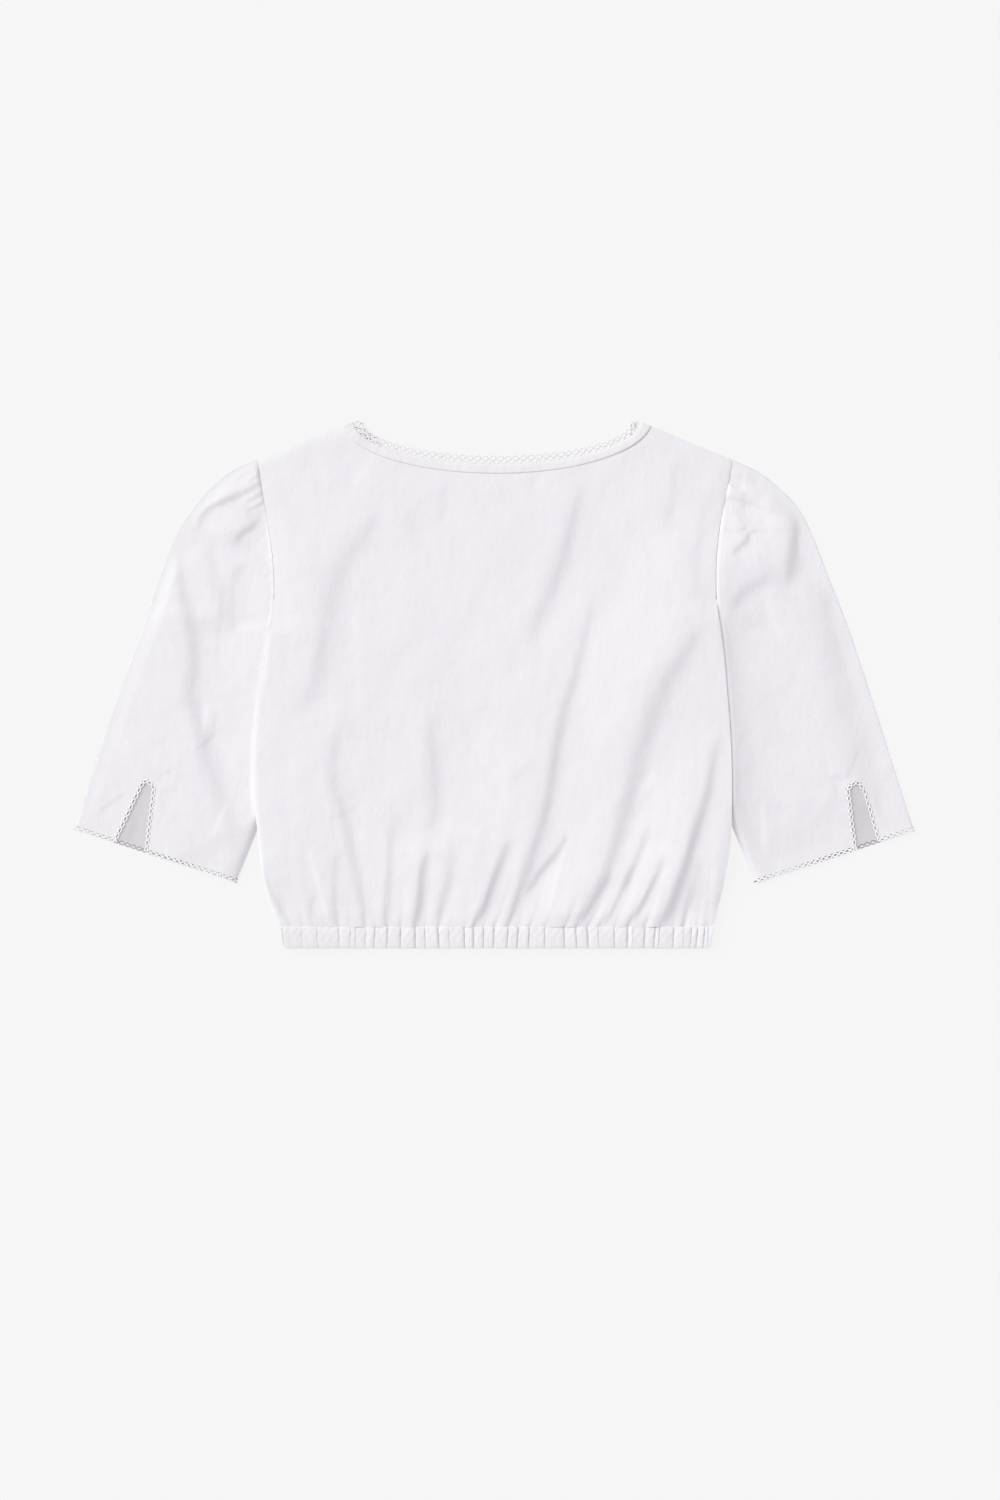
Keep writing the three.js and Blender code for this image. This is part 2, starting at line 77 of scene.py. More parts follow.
# Side edges of the body, from the shoulder point down to the hem
BODY_SIDES = [
    {"y": 190, "left": -201, "right": 202},
    {"y": 164, "left": -197, "right": 197},
    {"y": 139, "left": -193, "right": 192},
    {"y": 105, "left": -188, "right": 188},
    {"y": 71, "left": -187, "right": 188},
    {"y": 37, "left": -192, "right": 193},
    {"y": -6, "left": -198, "right": 197},
    {"y": -48, "left": -203, "right": 200},
    {"y": -91, "left": -204, "right": 201},
    {"y": -133, "left": -200, "right": 200},
    {"y": -167, "left": -196, "right": 195},
    {"y": -189, "left": -190, "right": 190},
    {"y": -207, "left": -182, "right": 186},
    {"y": -225, "left": -179, "right": 183},
]

# How far the back panel stands off the front one, down the middle of the body
BODY_PUFF = [
    {"y": 225, "height": 0.2},
    {"y": 185, "height": 0.9},
    {"y": 140, "height": 2.2},
    {"y": 60, "height": 3.2},
    {"y": -60, "height": 4.0},
    {"y": -130, "height": 4.8},
    {"y": -160, "height": 4.7},
    {"y": -180, "height": 4.1},
    {"y": -196, "height": 3.0},
    {"y": -207, "height": 1.7},
]

# Creases of the back panel. Each is a line down the middle of a flank that falls to the right of the
# line's way, with the flank's drop and width at even steps along it, and how far each end fades. A negative
# drop rises.
BODY_CREASES = [
    {"line": [(-92, 150), (-113, 122), (-131, 92), (-142, 55), (-147, 22), (-156, -8), (-168, -32)],
     "drop": (2.0, 3.0, 3.8, 2.6, 0.9), "width": (15, 20, 27, 18, 12), "fade": (26, 25)},
    {"line": [(-134, -28), (-136, -85), (-127, -112), (-119, -150), (-108, -206)],
     "drop": (1.2, 2.2, 2.4, 3.4), "width": (14, 14, 13, 13), "fade": (25, 0)},
    {"line": [(-124, -108), (-133, -113), (-142, -116)], "drop": (0.6, 0.6), "width": (6, 6), "fade": (5, 5)},
    {"line": [(-133, -138), (-135, -170), (-134, -206)],
     "drop": (1.6, 2.2), "width": (11, 10), "fade": (15, 0)},
    {"line": [(-161, -132), (-152, -160), (-141, -206)],
     "drop": (-0.6, -0.9), "width": (5, 5), "fade": (15, 0)},
    {"line": [(-154, -178), (-156, -190), (-155, -206)], "drop": (1.2, 1.4), "width": (6, 6), "fade": (6, 0)},
    {"line": [(-198, -146), (-193, -170), (-183, -189), (-173, -207)],
     "drop": (1.2, 2.2, 2.2), "width": (8, 7, 7), "fade": (18, 0)},
    {"line": [(-87, -108), (-89, -150), (-91, -180), (-92, -206)],
     "drop": (0.8, 1.8, 2.8), "width": (10, 9, 8), "fade": (25, 0)},
    {"line": [(-52, -12), (-54, -50), (-50, -90), (-53, -130)],
     "drop": (1.2, 2.4, 2.8, 1.6), "width": (18, 18, 18, 14), "fade": (25, 20)},
    {"line": [(-55, -138), (-61, -160), (-63, -182), (-66, -207)],
     "drop": (1.6, 3.4, 3.6), "width": (9, 9, 8), "fade": (12, 0)},
    {"line": [(-38, -122), (-38, -160), (-44, -185), (-50, -207)],
     "drop": (1.2, 2.6, 3.0), "width": (16, 15, 11), "fade": (25, 0)},
    {"line": [(16, -126), (6, -150), (-3, -172), (-9, -190), (-17, -207)],
     "drop": (1.6, 3.4, 4.0, 4.0), "width": (12, 10, 8, 7), "fade": (18, 0)},
    {"line": [(84, 80), (78, 45), (68, 5), (58, -28), (51, -65), (45, -100), (35, -137), (24, -170),
              (12, -207)],
     "drop": (1.0, 2.2, 3.2, 4.0, 4.0, 3.6), "width": (10, 12, 14, 14, 13, 9), "fade": (25, 0)},
    {"line": [(64, -126), (52, -145), (36, -164), (25, -184)],
     "drop": (1.4, 2.6, 2.2), "width": (8, 7, 6), "fade": (8, 14)},
    {"line": [(66, -124), (56, -150), (49, -178), (43, -206)],
     "drop": (-0.5, -0.6), "width": (6, 6), "fade": (10, 0)},
    {"line": [(178, 54), (160, 22), (146, 0), (134, -30), (124, -62), (115, -95), (106, -125), (98, -150),
              (84, -180), (68, -207)],
     "drop": (1.4, 4.6, 6.4, 6.0, 4.2, 3.0), "width": (10, 24, 28, 25, 16, 9), "fade": (25, 0)},
    {"line": [(101, -156), (91, -174), (81, -190), (72, -207)],
     "drop": (1.2, 2.0), "width": (6, 5), "fade": (12, 0)},
    {"line": [(118, -148), (110, -170), (101, -190), (92, -207)],
     "drop": (1.2, 2.6), "width": (7, 6), "fade": (18, 0)},
    {"line": [(133, -116), (124, -140), (114, -165), (108, -182)],
     "drop": (1.2, 2.2, 1.6), "width": (9, 8, 7), "fade": (15, 15)},
    {"line": [(146, -140), (138, -160), (128, -182), (113, -207)],
     "drop": (1.4, 3.0, 3.4), "width": (9, 7, 6), "fade": (15, 0)},
    {"line": [(193, -33), (186, -65), (181, -90), (173, -118), (164, -148), (153, -180), (143, -207)],
     "drop": (0.8, 2.4, 4.2, 6.4, 7.4, 7.0), "width": (8, 9, 11, 13, 13, 12), "fade": (25, 0)},
    {"line": [(175, -138), (169, -170), (164, -190), (158, -207)],
     "drop": (1.4, 2.6, 2.8), "width": (12, 9, 7), "fade": (20, 0)},
    {"line": [(76, 176), (66, 135), (57, 102), (46, 72), (34, 46), (22, 22)],
     "drop": (1.2, 2.4, 3.2, 2.6, 1.0), "width": (12, 15, 18, 18, 14), "fade": (25, 30)},
    {"line": [(-174, 172), (-178, 140), (-181, 98)], "drop": (1.0, 1.2), "width": (15, 15), "fade": (20, 25)},
    {"line": [(150, 186), (152, 160), (141, 120)], "drop": (0.9, 1.0), "width": (10, 11), "fade": (15, 20)},
    {"line": [(182, 166), (176, 135), (172, 105), (170, 66)],
     "drop": (0.8, 2.0, 1.2), "width": (9, 11, 10), "fade": (20, 25)},
    {"line": [(-98, 192), (-112, 200), (-130, 208)], "drop": (0.8, 0.8), "width": (9, 9), "fade": (10, 10)},
    {"line": [(-40, 174), (-43, 155), (-42, 132)], "drop": (0.8, 0.8), "width": (12, 12), "fade": (15, 15)},
    {"line": [(30, 177), (31, 156)], "drop": (0.8, 0.6), "width": (9, 9), "fade": (4, 10)},
    {"line": [(-66, 168), (-72, 140), (-70, 112)], "drop": (0.6, 0.6), "width": (14, 14), "fade": (15, 15)},
    {"line": [(36, -62), (24, -74), (11, -88)], "drop": (0.7, 0.7), "width": (9, 9), "fade": (8, 8)},
    {"line": [(-138, -9), (-158, -12)], "drop": (0.6, 0.6), "width": (6, 6), "fade": (6, 6)},
    {"line": [(138, -72), (129, -84), (120, -98)], "drop": (-0.8, -0.8), "width": (6, 6), "fade": (10, 10)},
    {"line": [(201, -92), (198, -128), (194, -160), (190, -185), (185, -207)],
     "drop": (0.8, 1.6, 2.6, 3.0), "width": (10, 13, 14, 13), "fade": (25, 0)},
    {"line": [(-122, 72), (-117, 20), (-112, -36)],
     "drop": (-0.9, -1.2, -0.8), "width": (17, 17), "fade": (25, 25)},
]

# Tucks that the elastic makes at the waist, from left to right: their place, and how deep each is in the
# casing and in the gathers above it
WAIST_TUCKS = [
    {"x": -187, "casing": 0.0, "gather": 0.0},
    {"x": -179, "casing": 0.3, "gather": 0.3},
    {"x": -173, "casing": 0.1, "gather": 0.5},
    {"x": -163, "casing": 0.2, "gather": 0.3},
    {"x": -150, "casing": 0.5, "gather": 0.1},
    {"x": -131.5, "casing": 0.7, "gather": 0.6},
    {"x": -122, "casing": 0.3, "gather": 0.1},
    {"x": -117.5, "casing": 0.6, "gather": 0.2},
    {"x": -109, "casing": 0.4, "gather": 0.5},
    {"x": -101.5, "casing": 0.8, "gather": 0.1},
    {"x": -90.5, "casing": 1.0, "gather": 0.8},
    {"x": -79.5, "casing": 1.0, "gather": 0.6},
    {"x": -67, "casing": 1.3, "gather": 0.9},
    {"x": -58.5, "casing": 0.9, "gather": 0.4},
    {"x": -47.3, "casing": 1.3, "gather": 0.6},
    {"x": -38, "casing": 0.6, "gather": 0.3},
    {"x": -25.2, "casing": 1.2, "gather": 0.2},
    {"x": -17.6, "casing": 1.4, "gather": 1.2},
    {"x": -9, "casing": 1.2, "gather": 0.5},
    {"x": -0.4, "casing": 1.1, "gather": 0.6},
    {"x": 11.4, "casing": 1.2, "gather": 1.2},
    {"x": 20, "casing": 1.2, "gather": 0.6},
    {"x": 29.4, "casing": 1.1, "gather": 0.8},
    {"x": 43, "casing": 0.9, "gather": 0.6},
    {"x": 59.4, "casing": 1.2, "gather": 0.8},
    {"x": 69.6, "casing": 1.2, "gather": 1.0},
    {"x": 79.4, "casing": 1.5, "gather": 0.9},
    {"x": 88.5, "casing": 0.6, "gather": 0.7},
    {"x": 102, "casing": 1.1, "gather": 0.8},
    {"x": 113, "casing": 1.4, "gather": 1.2},
    {"x": 117.6, "casing": 0.5, "gather": 0.1},
    {"x": 127.6, "casing": 1.2, "gather": 0.9},
    {"x": 136, "casing": 1.0, "gather": 0.2},
    {"x": 140, "casing": 0.9, "gather": 1.3},
    {"x": 152, "casing": 1.1, "gather": 0.2},
    {"x": 160.5, "casing": 0.2, "gather": 1.3},
    {"x": 167, "casing": 0.9, "gather": 0.3},
    {"x": 172, "casing": 1.1, "gather": 0.3},
    {"x": 178, "casing": 1.1, "gather": 0.4},
    {"x": 181.5, "casing": 0.6, "gather": 0.9},
    {"x": 190, "casing": 0.0, "gather": 0.0},
]
TUCK_PLACES = np.array([row["x"] for row in WAIST_TUCKS], float)

# How far the gathers above the casing lean to the right, by their place at the waist
GATHER_LEAN = [
    {"x": -190, "lean": -0.18},
    {"x": -130, "lean": -0.14},
    {"x": -100, "lean": -0.1},
    {"x": -70, "lean": 0.12},
    {"x": -20, "lean": 0.42},
    {"x": 30, "lean": 0.42},
    {"x": 60, "lean": 0.55},
    {"x": 100, "lean": 0.52},
    {"x": 135, "lean": 0.4},
    {"x": 172, "lean": 0.15},
    {"x": 190, "lean": 0.02},
]

# Gathers and casing
GATHER_HEIGHT = 1.3
GATHER_REACH = 60
GATHER_FADE = 24
CASING_LOBE = 1.3
FRONT_CASING_LOBE = 0.4
CASING_THICKNESS = 2.0
FRONT_CASING_THICKNESS = 1.7
CASING_CORNER = 4.5
CASING_FLOOR = FRONT_CASING_THICKNESS + 1.0 + LAYER_GAP

# Creases of the left sleeve, in the same form as the back panel's
LEFT_SLEEVE_CREASES = [
    {"line": [(-270, 124), (-266, 85), (-258, 50), (-254, 18), (-257, -10), (-249, -40), (-240, -72),
              (-230, -104), (-212, -136)],
     "drop": (1.4, 3.0, 4.0, 3.6, 3.8, 3.8, 2.4), "width": (12, 16, 19, 18, 20, 23, 24), "fade": (25, 20)},
    {"line": [(-201, 182), (-212, 178), (-226, 167)], "drop": (1.8, 1.2), "width": (5, 6), "fade": (0, 12)},
    {"line": [(-199, 176), (-210, 171)], "drop": (1.2, 0.8), "width": (4, 4), "fade": (0, 6)},
    {"line": [(-199, 169), (-214, 161), (-230, 154), (-243, 148), (-250, 138), (-250, 124)],
     "drop": (1.8, 3.0, 2.8, 1.8), "width": (6, 8, 8, 9), "fade": (0, 20)},
    {"line": [(-196, 162), (-207, 155), (-216, 151)], "drop": (1.6, 1.0), "width": (4, 5), "fade": (0, 8)},
    {"line": [(-195, 154), (-204, 149), (-213, 146)], "drop": (2.2, 1.6), "width": (4.5, 5), "fade": (0, 8)},
    {"line": [(-194, 147), (-206, 143)], "drop": (1.4, 1.0), "width": (4, 4), "fade": (0, 7)},
    {"line": [(-193, 141), (-204, 133), (-216, 124), (-226, 110)],
     "drop": (2.6, 4.2, 3.0), "width": (7, 11, 12), "fade": (0, 18)},
    {"line": [(-248, 122), (-238, 97), (-233, 70), (-233, 46)],
     "drop": (1.4, 2.4, 2.2), "width": (14, 15, 14), "fade": (15, 10)},
    {"line": [(-212, 106), (-221, 85), (-223, 62), (-222, 42)],
     "drop": (1.4, 1.8, 1.6), "width": (12, 12, 12), "fade": (12, 8)},
    {"line": [(-208, 50), (-238, 50)], "drop": (1.0, 1.0), "width": (13, 13), "fade": (10, 6)},
    {"line": [(-312, -93), (-326, -102), (-339, -112)], "drop": (0.8, 0.7), "width": (5, 5), "fade": (6, 8)},
    {"line": [(-271, -73), (-286, -79)], "drop": (0.7, 0.7), "width": (5, 5), "fade": (5, 5)},
    {"line": [(-268, -92), (-284, -90)], "drop": (0.5, 0.5), "width": (5, 5), "fade": (5, 5)},
    {"line": [(-236, -20), (-240, -45), (-256, -58)], "drop": (0.6, 0.7), "width": (5, 5), "fade": (10, 6)},
    {"line": [(-244, -14), (-247, -44)], "drop": (-0.7, -0.6), "width": (5, 5), "fade": (8, 8)},
    {"line": [(-226, -98), (-233, -116), (-242, -134)],
     "drop": (-0.6, -0.5), "width": (5, 5), "fade": (10, 10)},
    {"line": [(-262, -140), (-268, -158)], "drop": (0.4, 0.4), "width": (9, 9), "fade": (8, 0)},
    {"line": [(-244, -148), (-247, -164)], "drop": (0.4, 0.4), "width": (8, 8), "fade": (8, 0)},
]

# Creases of the right sleeve, in the same form as the back panel's
RIGHT_SLEEVE_CREASES = [
    {"line": [(262, 160), (257, 130), (252, 104), (247, 74)],
     "drop": (2.4, 4.4, 4.6, 3.2), "width": (14, 16, 16, 15), "fade": (20, 24)},
    {"line": [(240, 88), (222, 84), (208, 74), (197, 56)],
     "drop": (1.4, 2.8, 2.8, 2.0), "width": (11, 15, 16, 15), "fade": (16, 14)},
    {"line": [(240, 163), (222, 172), (199, 177)], "drop": (1.0, 1.6), "width": (6, 6), "fade": (12, 0)},
    {"line": [(244, 139), (228, 148), (212, 154), (198, 158)],
     "drop": (1.6, 2.6, 2.6), "width": (7, 7, 6), "fade": (16, 0)},
    {"line": [(228, 158), (214, 152), (205, 146)], "drop": (0.8, 0.8), "width": (8, 8), "fade": (6, 6)},
    {"line": [(198, 170), (206, 164), (214, 163)], "drop": (2.0, 1.2), "width": (4, 4), "fade": (0, 6)},
    {"line": [(215, 133), (207, 129), (194, 130)], "drop": (1.5, 1.5), "width": (4, 4), "fade": (4, 0)},
    {"line": [(215, 131), (214, 122), (206, 114), (199, 108)],
     "drop": (2.0, 2.2, 1.2), "width": (6, 7, 6), "fade": (4, 6)},
    {"line": [(284, 96), (284, 52), (290, 10), (300, -32), (313, -74), (328, -112)],
     "drop": (1.0, 2.3, 2.4, 2.1, 1.7), "width": (22, 30, 34, 30), "fade": (30, 20)},
    {"line": [(300, -82), (292, -79), (283, -80)], "drop": (0.9, 0.9), "width": (5, 5), "fade": (4, 6)},
    {"line": [(297, -92), (282, -104), (270, -124)], "drop": (0.7, 0.6), "width": (9, 9), "fade": (8, 12)},
    {"line": [(290, -100), (280, -122)], "drop": (0.5, 0.4), "width": (6, 6), "fade": (8, 8)},
    {"line": [(248, 30), (256, -12)], "drop": (0.4, 0.4), "width": (10, 10), "fade": (15, 15)},
    {"line": [(226, -92), (230, -150)], "drop": (-0.6, -0.5), "width": (6, 6), "fade": (14, 10)},
    {"line": [(322, -96), (328, -114)], "drop": (0.6, 0.5), "width": (5, 5), "fade": (6, 4)},
]

# The two sleeves. outer is the fold from the shoulder down to the hem, armhole_end where the armhole goes on
# under the body, and hem_tip the hem's inner corner. The measures are
# lift and ramp: how high the sleeve carries the body's side, and how far inwards that fades
# pillow and fold_reach: how full the sleeve lies, and how far in from its outer fold it is full
# side_seam and side_fold: how high the body's free side lies over the sleeve, and how far in that side turns
# beside_body, beside_from and beside_reach: the sleeve's rise beside that side, and where it starts and fades
# met_reach: how far out from the armhole seam the sleeve comes away from the body's level
# seam_step and seam_dip: the step at that seam, low down and at the cap, and the dip on the sleeve's side
# valley: how far out the sleeve lies low beside the body
# inner_turn: how far in from its inner edge the sleeve turns near the hem
# sewn_from: the height where the armhole seam ends and the body's side lies free
SLEEVES = {
    "left": {
        "outer": [(-201, 190), (-221.5, 180.5), (-239, 167), (-255.3, 148), (-269.5, 126),
                  (-282.6, 92), (-300, 43), (-321, -14), (-342.3, -80), (-355, -121)],
        "armhole_end": [{"y": 32, "x": -176}, {"y": -6, "x": -152}],
        "hem_tip": (-217.8, -166),
        "slit": {"outer_foot": (-324, -134), "outer_top": (-303, -90), "crown": (-296, -74),
                 "inner_top": (-287.5, -89), "inner_foot": (-294, -143)},
        "lift": 3.0,
        "ramp": 58,
        "pillow": 1.4,
        "fold_reach": 40,
        "side_seam": 4.3,
        "side_fold": 5.0,
        "beside_body": 4.2,
        "beside_from": 80,
        "beside_reach": 45,
        "met_reach": 60,
        "valley": 14,
        "inner_turn": 10,
        "sewn_from": 38,
        "seam_step": (-0.3, -0.35),
        "seam_dip": 0.35,
        "creases": LEFT_SLEEVE_CREASES,
    },
    "right": {
        "outer": [(202, 190), (223.5, 179.5), (240, 167), (257.5, 149), (270.8, 123),
                  (284.3, 88), (299.5, 49), (320.6, -14), (341.5, -80), (355, -122)],
        "armhole_end": [{"y": 32, "x": 177}, {"y": -6, "x": 154}],
        "hem_tip": (220, -167),
        "slit": {"outer_foot": (328, -133), "outer_top": (316, -92), "crown": (308, -75),
                 "inner_top": (298.5, -90), "inner_foot": (305, -142)},
        "lift": 5.6,
        "ramp": 80,
        "pillow": 3.9,
        "fold_reach": 22,
        "side_seam": 3.9,
        "side_fold": 4.0,
        "beside_body": 3.9,
        "beside_from": 90,
        "beside_reach": 20,
        "met_reach": 36,
        "valley": 45,
        "inner_turn": 1.5,
        "sewn_from": 50,
        "seam_step": (0.1, -0.75),
        "seam_dip": 0,
        "creases": RIGHT_SLEEVE_CREASES,
    },
}
SLEEVE_EDGE = 1.5
SLEEVE_FLOOR = 1.5
UNDER_BODY_GAP = 0.4
UNDER_BODY_END_Y = -140
SEAM_STEP_AT = (125, 150)
CAP_TUCKS = 12
CAP_TUCK_PITCH = 8.1
CAP_TOP_Y = 184

# The neck lace has two rows of rings, each ring over the one before it
NECK_LACE_WIDTH = 7.4
NECK_LACE_RISE = {"back": 0.45, "front": 0.95}
NECK_RING_PITCH = 6.45
NECK_RING_ROWS = (2.35, 5.05)
NECK_RING_REACH = (2.55, 2.0)
NECK_RING_OVER = 0.12
NECK_RING_TILT = 0.1
NECK_RING_POINTS = 14
NECK_THREAD_RADIUS = 0.66

# The lace of the hems and slits is two threads that cross again and again, with an open eye between them
SLEEVE_THREAD_RADIUS = 0.56
LOW_THREAD_WIDTH = 1.3
THREAD_FLATNESS = 0.4
LACE_PITCH = 5.4
LOWER_LACE_PITCH = 5.15
LACE_POINTS = 14
LACE_MIDDLE = {"hem": 1.9, "slit": 1.5}
LACE_SWING = 1.3
LACE_OVER = 0.12
LACE_ROUNDNESS = 0.7

# Scale of the weave on each kind of cloth
PANEL_WEAVE = 700.0
BINDING_WEAVE = 760.0

# Slow swells that no cloth is without: their length, direction and height
SWELLS = [
    {"length": 74, "angle": 12, "height": 0.12, "start": 0.4},
    {"length": 53, "angle": 71, "height": 0.1, "start": 2.1},
    {"length": 41, "angle": -34, "height": 0.07, "start": 4.0},
    {"length": 97, "angle": 128, "height": 0.12, "start": 1.2},
    {"length": 29, "angle": 25, "height": 0.04, "start": 5.3},
]


def smooth(t):
    """0 to 1, with a soft start and a soft end."""
    t = np.clip(t, 0, 1)
    return t * t * (3 - 2 * t)


def rise(distance, reach):
    """0 at an edge, and nearly 1 a few reaches away from it."""
    return 1 - np.exp(-np.maximum(distance, 0) / reach)


def look_up(table, key, at, column):
    """A table's column at values of another column, smoothly between the rows."""
    rows = sorted(table, key=lambda row: row[key])
    keys = np.array([row[key] for row in rows], float)
    values = np.array([row[column] for row in rows], float)
    last = len(rows) - 1
    k = np.clip(np.searchsorted(keys, at, side="right") - 1, 0, last - 1)
    before = np.maximum(k - 1, 0)
    after = np.minimum(k + 2, last)
    width = keys[k + 1] - keys[k]
    t = np.clip((at - keys[k]) / width, 0, 1)
    start = (values[k + 1] - values[before]) / (keys[k + 1] - keys[before]) * width
    end = (values[after] - values[k]) / (keys[after] - keys[k]) * width
    level = values[k] + (values[k + 1] - values[k]) * t * t * (3 - 2 * t)
    return level + start * t * (1 - t) ** 2 - end * t * t * (1 - t)


def left_side(y):
    return look_up(BODY_SIDES, "y", y, "left")


def right_side(y):
    return look_up(BODY_SIDES, "y", y, "right")


def sign_of(sleeve):
    """-1 for the left sleeve, 1 for the right one."""
    return math.copysign(1, sleeve["hem_tip"][0])


def body_side(sleeve, y):
    """The side of the body that a sleeve is sewn to."""
    return left_side(y) if sign_of(sleeve) < 0 else right_side(y)


def shoulder_line(x):
    """Height of the shoulder seam on the plan."""
    return SHOULDER_Y - SHOULDER_SLOPE * (np.abs(x) - SHOULDER_X)


def run_along(points):
    """Length along a line of points, up to each of them."""
    return np.concatenate([[0], np.cumsum(np.hypot(*np.diff(points, axis=0).T))])


def measure_from(line, x, y):
    """Distance to a line of points, the side that a point is on, and how far along the line it is."""
    nearest = np.full(np.shape(x), np.inf)
    side = np.ones(np.shape(x))
    along = np.zeros(np.shape(x))
    passed = 0.0
    for (ax, ay), (bx, by) in zip(line, line[1:]):
        length = math.hypot(bx - ax, by - ay)
        share = np.clip(((x - ax) * (bx - ax) + (y - ay) * (by - ay)) / length ** 2, 0, 1)
        dx = x - (ax + (bx - ax) * share)
        dy = y - (ay + (by - ay) * share)
        distance = np.hypot(dx, dy)
        closer = distance < nearest
        nearest = np.where(closer, distance, nearest)
        side = np.where(closer, np.where(dx * (ay - by) + dy * (bx - ax) >= 0, 1, -1), side)
        along = np.where(closer, passed + share * length, along)
        passed += length
    return nearest, side, along, passed


def smooth_line(points, steps=8):
    """A rounder line through the given points."""
    points = [np.array(point, float) for point in points]
    line = []
    for k in range(len(points) - 1):
        before = points[max(k - 1, 0)]
        after = points[min(k + 2, len(points) - 1)]
        for step in range(steps):
            t = step / steps
            line.append(0.5 * (2 * points[k] + (points[k + 1] - before) * t
                               + (2 * before - 5 * points[k] + 4 * points[k + 1] - after) * t * t
                               + (3 * points[k] - before - 3 * points[k + 1] + after) * t ** 3))
    line.append(points[-1])
    return [tuple(point) for point in line]


def crease_height(creases, x, y):
    """Height that creases add: each falls across its flank, and the cloth comes back level on both sides."""
    height = np.zeros(np.shape(x))
    for crease in creases:
        distance, side, along, length = measure_from(smooth_line(crease["line"], 4), x, y)
        share = along / length
        drop = np.interp(share, np.linspace(0, 1, len(crease["drop"])), crease["drop"])
        width = np.interp(share, np.linspace(0, 1, len(crease["width"])), crease["width"])
        ends = np.ones(np.shape(x))
        if crease["fade"][0]:
            ends = ends * smooth(along / crease["fade"][0])
        if crease["fade"][1]:
            ends = ends * smooth((length - along) / crease["fade"][1])
        back = np.where(side > 0, 2.2 * width + 9, 3 * width + 12)
        height -= drop / 2 * ends * side * np.tanh(3 * distance / width) * np.exp(-((distance / back) ** 2))
    return height


def at_least(low, height, turn=0.6):
    """Height with a floor under it that it meets in a soft turn."""
    over = height - low
    return low + 0.5 * (over + np.sqrt(over * over + turn * turn))


def swell(x, y):
    """Height of the slow swells."""
    height = np.zeros(np.shape(x))
    for wave in SWELLS:
        angle = math.radians(wave["angle"])
        along = (x * math.cos(angle) + y * math.sin(angle)) / wave["length"]
        height += wave["height"] * np.sin(2 * math.pi * along + wave["start"])
    return height


def armhole_table(sleeve):
    """The armhole, down the body's side and on under the body."""
    heights = np.linspace(SHOULDER_Y, UNDERARM_Y, 25)
    shared = [{"y": float(y), "x": float(body_side(sleeve, y))} for y in heights]
    return shared + sleeve["armhole_end"]


def hidden_corners(sleeve):
    """The part of a sleeve that lies under the body: its upper corner, the underarm and its lower corner."""
    table = armhole_table(sleeve)
    return [(table[-3]["x"], table[-3]["y"]), (table[-1]["x"], table[-1]["y"]),
            (float(body_side(sleeve, UNDER_BODY_END_Y)), UNDER_BODY_END_Y)]


def body_lift(x, y):
    """How high the body is carried by the sleeves that lie under its sides."""
    lift = np.zeros(np.shape(x))
    for sleeve in SLEEVES.values():
        corners = hidden_corners(sleeve)
        sign = sign_of(sleeve)
        (tx, ty), (mx, my), (fx, fy) = corners
        upper = tx + (mx - tx) * np.clip((ty - y) / (ty - my), 0, 1)
        lower = mx + (fx - mx) * np.clip((my - y) / (my - fy), 0, 1)
        edge = np.where(y > my, upper, lower)
        inside = (x * sign > edge * sign) & (y < ty) & (y > fy)
        distance = np.where(inside, 0, measure_from(corners, x, y)[0])
        raised = sleeve["lift"] * smooth(1 - (distance - PLATEAU_MARGIN) / sleeve["ramp"])
        lift = np.where(x * sign > 0, raised, lift)
    return lift * smooth((y - WAIST_Y) / WAIST_EASE)


def by_side(x, key):
    """A sleeve's measure, for each point on its own side of the body."""
    return np.where(x < 0, SLEEVES["left"][key], SLEEVES["right"][key])


def sewn_share(x, y):
    """How far the body's side is an armhole seam, and not a side that lies free on the sleeve."""
    return smooth((y - by_side(x, "sewn_from")) / SEWN_FADE)


def shoulder_angle(width, depth):
    """Angle at which a neck ellipse meets the line of the shoulder seam."""
    low, high = -0.3, 0.6
    for _ in range(40):
        middle = (low + high) / 2
        x = NECK_CENTRE[0] + width * math.cos(middle)
        y = NECK_CENTRE[1] - depth * math.sin(middle)
        if y > shoulder_line(x):
            low = middle
        else:
            high = middle
    return high


def neck_point(side, line, share):
    """Points of a neck line, from the left shoulder round to the right one."""
    width, depth = NECK_WIDTHS[line], NECK_DEPTHS[side][line]
    start = shoulder_angle(width, depth)
    angle = math.pi - start - share * (math.pi - 2 * start)
    x = NECK_CENTRE[0] + width * np.cos(angle)
    y = NECK_CENTRE[1] - depth * np.sin(angle)
    if side == "front":
        swing = FRONT_NECK_SWING * smooth((218 - y) / 13) * smooth((y - 130) / 65)
        x = x + np.where(x < 0, swing, 0)
    return x, y


def gather_coordinate(x, y):
    """Where the gather that passes through a point meets the waist seam."""
    up = np.maximum(y - WAIST_Y, 0)
    reach = GATHER_REACH * (1 - np.exp(-up / GATHER_REACH))
    start = x
    for _ in range(4):
        start = x - look_up(GATHER_LEAN, "x", start, "lean") * reach
    return start


def tuck_shares(start):
    """Which two tucks a place at the waist lies between, and how far it is from one to the other."""
    k = np.clip(np.searchsorted(TUCK_PLACES, start) - 1, 0, len(TUCK_PLACES) - 2)
    return k, (start - TUCK_PLACES[k]) / (TUCK_PLACES[k + 1] - TUCK_PLACES[k])


def lobe_tilt(start):
    """Each lobe between two tucks leans its own way."""
    k, share = tuck_shares(start)
    share = np.clip(share, 0, 1) - 0.5
    crown = 0.5 * (0.5 + 0.5 * np.sin(4.1 * k))
    return np.sin(2.4 * k + 0.8) * share + crown * (1 - 4 * share ** 2)


